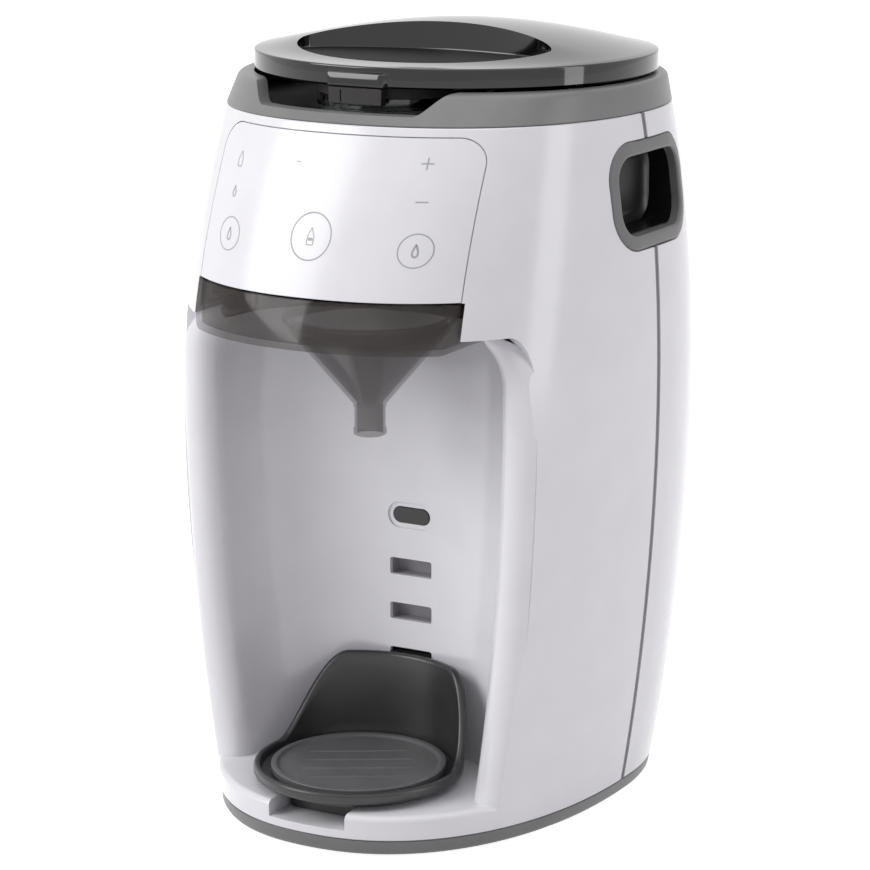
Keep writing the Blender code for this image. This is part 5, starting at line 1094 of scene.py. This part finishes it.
def make_base():
    """Grey base tray with a soft lower edge, its foot pockets and screw holes left open."""
    base = shape("base_tray", skin(base_outline_rings()))
    boolean(base, skin([body_ring(z, BASE_RIM) for z in (BASE_FLOOR, BASE_TOP + OVERRUN)]))
    for name in sorted(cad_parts):
        if not name.startswith(("foot_", "base_screw_")):
            continue
        low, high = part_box(name)
        x = (low[0] + high[0]) / 2
        y = (low[1] + high[1]) / 2 - SECTION_Y
        radius = (high[0] - low[0]) / 2 + GAP
        top = high[2] + GAP if name.startswith("foot_") else BASE_TOP + OVERRUN
        boolean(base, turned(((radius, -OVERRUN), (radius, top)), x, y, 48))
    join_frame(settle(base, GREY, 40), "machine", "mid_grey", "base_plate")


def make_seam_strips():
    """Grey strips in the seam between the casings, below and above each grip."""
    runs = (
        ("lower", BASE_TOP + GAP, GRIP_BOTTOM - 2 * GAP, 60),
        ("upper", GRIP_TOP + 2 * GAP, BODY_TOP - GAP, 6),
    )
    half = SEAM_WIDTH / 2
    for side, sign in (("left", -1), ("right", 1)):
        for run, low, high, count in runs:
            rings = []
            for z in between(low, high, count):
                outer = surface_x(SEAM_Y, z) - SEAM_SUNK
                inner = outer - SEAM_DEPTH
                near = outer - SMALL_EDGE
                front = [(inner, -half), (near, -half), (outer, -half + SMALL_EDGE)]
                rear = [(outer, half - SMALL_EDGE), (near, half), (inner, half)]
                rings.append([Vector((sign * x, SEAM_Y + y, z)) for x, y in front + rear])
            name = side + "_" + run
            strip = settle(shape("seam_" + name, skin(rings)), GREY, 50)
            join_frame(strip, "machine", "mid_grey", "seam_strip_" + name)


def make_grip_shade_linings():
    """Black linings deep in the finger cups, under the grey rims: partly black plastic, partly painted shade
    of the deep cups.
    """
    start = LINING_START
    gap = LINING_GAP
    thick = LINING_THICK
    root = GRIP_ROOT
    for side, sign in (("left", -1), ("right", 1)):
        rings = []
        for spread, rise in ((-root, 0), (0, root)):
            outline = grip_outline(-GRIP_RIM - gap + spread)
            rings.append([(GRIP_FLOOR_X + gap + rise, y, z) for y, z in outline])
        for spread in (0, -thick):
            outline = grip_outline(-GRIP_RIM - gap + spread)
            rings.append([(surface_x(y, z) - start, y, z) for y, z in outline])
        for spread, rise in ((-thick, root), (-thick - root, thick)):
            outline = grip_outline(-GRIP_RIM - gap + spread)
            rings.append([(GRIP_FLOOR_X + gap + rise, y, z) for y, z in outline])
        rings = [[Vector((sign * x, y, z)) for x, y, z in ring] for ring in rings]
        shade_lining = settle(shape("grip_shade_lining_" + side, skin(rings)), BLACK, 50)
        join_frame(shade_lining, "machine", "black_plastic")


def make_slot_liners():
    """Grey pockets behind the two free slots, closed at the back; their grey is painted shade of the deep
    slots.
    """
    wall = LINER_WALL
    side = SLOT_HALF + wall
    for i, middle in enumerate(SLOT_HEIGHTS[1:]):
        low = middle - SLOT_HEIGHT / 2
        high = low + SLOT_HEIGHT
        front = ALCOVE_BACK_Y + WALL + GAP
        rear = CHASSIS_Y - GAP
        liner = shape("slot_liner_%d" % (i + 1), box(-side, side, front, rear, low - wall, high + wall))
        boolean(liner, box(-SLOT_HALF, SLOT_HALF, front - OVERRUN, rear - wall, low, high))
        join_frame(settle(liner, SLOT_SHADE_GREY, 30), "machine", "mid_grey")


# Print on the touch panel

PRINT_HALF = 0.00022
PRINT_RAISE = 0.00006
PRINT_SINK = 0.00012
START_RING = 0.00030
SIDE_RING = 0.00026
MARK_HALF = 0.00032
DROP_HALF = 0.00040
BOTTLE_HALF = 0.00028
START_Z = 0.2872
SIDE_X = 0.0487
SIDE_Z = 0.2833
PLUS_X = 0.0466
PLUS_Z = 0.3200
PLUS_ARM = 0.0026
MINUS_X = 0.0476
MINUS_Z = 0.3038
BREAK_HALF = 0.00034
DROP_WIDTH = 0.62
DROP_POINT = 1.3


def drop(x, z, size, count=36):
    """Outline of a drop: round below, drawn to a point above."""
    points = []
    for angle in full_turn(count):
        narrow = math.sin(angle / 2) ** DROP_POINT
        points.append((x + size * DROP_WIDTH * math.sin(angle) * narrow, z + size * math.cos(angle)))
    return points


def bottle(x, z, size):
    """Outline of a feeding bottle with its collar and teat."""
    body = ((0.42, -1.0), (0.46, -0.9), (0.46, 0.1))
    collar = ((0.30, 0.28), (0.30, 0.5))
    teat = ((0.20, 0.55), (0.12, 0.78), (0.06, 1.0))
    half = body + collar + teat
    right = [(x + size * u, z + size * v) for u, v in half]
    left = [(x - size * u, z + size * v) for u, v in reversed(half)]
    return right + left


def add_band(bm, points, half, closed):
    """Raised printed line along points (x, z) on the panel's face."""
    count = len(points)
    rows = []
    for i, (x, z) in enumerate(points):
        before = points[i - 1] if closed or i else points[0]
        after = points[(i + 1) % count] if closed or i < count - 1 else points[-1]
        along = Vector((after[0] - before[0], after[1] - before[1])).normalized()
        side = (-along.y * half, along.x * half)
        row = []
        for way, depth in ((-1, PRINT_SINK), (-1, -PRINT_RAISE), (1, -PRINT_RAISE), (1, PRINT_SINK)):
            px = x + way * side[0]
            pz = z + way * side[1]
            row.append(bm.verts.new((px, surface_y(px, pz) + depth, pz)))
        rows.append(row)
    last = count if closed else count - 1
    for i in range(last):
        near = rows[i]
        far = rows[(i + 1) % count]
        for j in range(4):
            k = (j + 1) % 4
            bm.faces.new((near[j], near[k], far[k], far[j]))
    if not closed:
        bm.faces.new(rows[0])
        bm.faces.new(list(reversed(rows[-1])))


def make_print():
    """Ring, plus, minus, drop and bottle marks in pale grey on the panel."""
    bm = bmesh.new()
    add_band(bm, circle(0, START_Z, 0.0102), START_RING, True)
    add_band(bm, bottle(0, START_Z, 0.0036), PRINT_HALF, True)
    add_band(bm, [(-0.0012, START_Z - 0.0012), (0.0012, START_Z - 0.0012)], 0.0006, False)
    for sign in (-1, 1):
        add_band(bm, circle(sign * SIDE_X, SIDE_Z, 0.0072, 56), SIDE_RING, True)
        add_band(bm, drop(sign * SIDE_X, SIDE_Z, 0.0026), DROP_HALF, True)
    add_band(bm, [(PLUS_X - PLUS_ARM, PLUS_Z), (PLUS_X + PLUS_ARM, PLUS_Z)], MARK_HALF, False)
    for low, high in ((-PLUS_ARM, -BREAK_HALF), (BREAK_HALF, PLUS_ARM)):
        add_band(bm, [(PLUS_X, PLUS_Z + low), (PLUS_X, PLUS_Z + high)], MARK_HALF, False)
    add_band(bm, [(MINUS_X - PLUS_ARM, MINUS_Z), (MINUS_X + PLUS_ARM, MINUS_Z)], MARK_HALF, False)
    add_band(bm, [(-0.0160, 0.3180), (-0.0136, 0.3180)], PRINT_HALF, False)
    add_band(bm, bottle(-0.0516, 0.3155, 0.0032), BOTTLE_HALF, True)
    add_band(bm, drop(-0.0510, 0.3015, 0.0022), DROP_HALF, True)
    join_frame(settle(shape("panel_print", bm), INK, 60), "machine", "mid_grey")


# Stage, light and camera

WORLD_LEVEL = 0.48
WORLD_TINT = "F0EBF2"
FLOOR_LIFT = 0.90


def seen_rays(tree):
    """One for camera, glossy and transmission rays, and nothing for the light that falls on the part."""
    paths = add_node(tree, "ShaderNodeLightPath")
    links = {0: paths.outputs["Is Camera Ray"], 1: paths.outputs["Is Glossy Ray"]}
    seen = add_node(tree, "ShaderNodeMath", {}, links, operation="MAXIMUM")
    links = {0: seen.outputs[0], 1: paths.outputs["Is Transmission Ray"]}
    return add_node(tree, "ShaderNodeMath", {}, links, operation="MAXIMUM").outputs[0]


def make_stage():
    """Pale floor that keeps the shadow, and white surroundings with a softer, cool diffuse light."""
    bpy.ops.mesh.primitive_plane_add(size=12, location=(0, 0, 0))
    floor = bpy.context.object
    floor.name = "studio_floor"
    material = bpy.data.materials.new("matt_paper_white")
    material.use_nodes = True
    tree = material.node_tree
    tree.nodes.clear()
    paper = add_node(tree, "ShaderNodeBsdfDiffuse", {"Color": (0.75, 0.75, 0.75, 1)})
    glow = add_node(tree, "ShaderNodeEmission", {"Color": (1, 1, 1, 1)})
    lift = add_node(tree, "ShaderNodeMath", {1: FLOOR_LIFT}, {0: seen_rays(tree)}, operation="MULTIPLY")
    tree.links.new(lift.outputs[0], glow.inputs["Strength"])
    both = add_node(tree, "ShaderNodeAddShader", {}, {0: paper.outputs[0], 1: glow.outputs[0]})
    output = add_node(tree, "ShaderNodeOutputMaterial")
    tree.links.new(both.outputs[0], output.inputs["Surface"])
    floor.data.materials.append(material)

    world = bpy.data.worlds.new("studio")
    bpy.context.scene.world = world
    world.use_nodes = True
    tree = world.node_tree
    tree.nodes.clear()
    seen = seen_rays(tree)
    ends = {"To Min": WORLD_LEVEL, "To Max": 1.0}
    level = add_node(tree, "ShaderNodeMapRange", ends, {"Value": seen})
    tones = {6: srgb(WORLD_TINT), 7: srgb("FFFFFF")}
    tone = add_node(tree, "ShaderNodeMix", tones, {0: seen}, data_type="RGBA")
    links = {"Color": tone.outputs[2], "Strength": level.outputs[0]}
    sky = add_node(tree, "ShaderNodeBackground", {}, links)
    output = add_node(tree, "ShaderNodeOutputWorld")
    tree.links.new(sky.outputs[0], output.inputs["Surface"])


def area_light(name, place, aim, width, height, watts):
    light = bpy.data.lights.new(name, "AREA")
    light.shape = "RECTANGLE"
    light.size = width
    light.size_y = height
    light.energy = watts
    lamp = bpy.data.objects.new(name, light)
    lamp.location = place
    lamp.rotation_euler = (Vector(aim) - Vector(place)).to_track_quat("-Z", "Y").to_euler()
    bpy.context.scene.collection.objects.link(lamp)


def make_lights():
    middle = (0, 0, 0.18)
    area_light("key_left", (-1.3, -1.3, 1.2), middle, 1.2, 1.2, 24)
    area_light("strip_right", (1.5, 0.1, 0.5), middle, 0.35, 1.6, 5)
    area_light("top_soft", (0.2, -0.2, 1.8), middle, 1.6, 1.6, 9)


def make_camera():
    data = bpy.data.cameras.new("camera")
    data.lens = 127.62
    data.sensor_width = 36
    data.shift_x = -0.0232
    data.shift_y = -0.0122
    camera = bpy.data.objects.new("camera", data)
    camera.location = (0.7098, -1.2786, 0.5213)
    camera.rotation_euler = Euler((math.radians(76.734), 0, math.radians(28.745)))
    bpy.context.scene.collection.objects.link(camera)
    bpy.context.scene.camera = camera
    bpy.context.scene.view_settings.view_transform = "Standard"


# CAD nodes that keep their shape and take a finish, by the start of their names. The rest is nylon.

NODE_FINISHES = (
    ("foot_", RUBBER),
    ("base_screw", STEEL),
    ("sensor_window", BLACK),
    ("sensor_module", BOARD),
    ("panel_board", BOARD),
    ("main_board", BOARD),
    ("drawer_rail", NYLON),
    ("lid_seal", RUBBER),
    ("inner_bezel", BLACK),
    ("hinge_pin", STEEL),
    ("chassis", GREY),
    ("dosing_deck", GREY),
    ("powder_container", CLEAR),
    ("mains_inlet", BLACK),
    ("water_heater", STEEL),
    ("dosing_motor", STEEL),
    ("water_tank", CLEAR),
    ("hose", SILICONE),
    ("valve_spring", STEEL),
    ("dosing_shaft", STEEL),
)


def finish_nodes():
    for name, node in sorted(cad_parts.items()):
        chosen = NYLON
        for start, material in NODE_FINISHES:
            if name.startswith(start):
                chosen = material
                break
        node.data.materials.clear()
        node.data.materials.append(chosen)


finish_nodes()
make_front_casing()
make_rear_casing()
make_touch_panel()
make_collar()
make_lid()
make_latch()
make_stand()
make_plate()
make_drawer()
make_funnel()
make_grips()
make_grip_shade_linings()
make_slot_liners()
make_base()
make_seam_strips()
make_print()
make_stage()
make_lights()
make_camera()
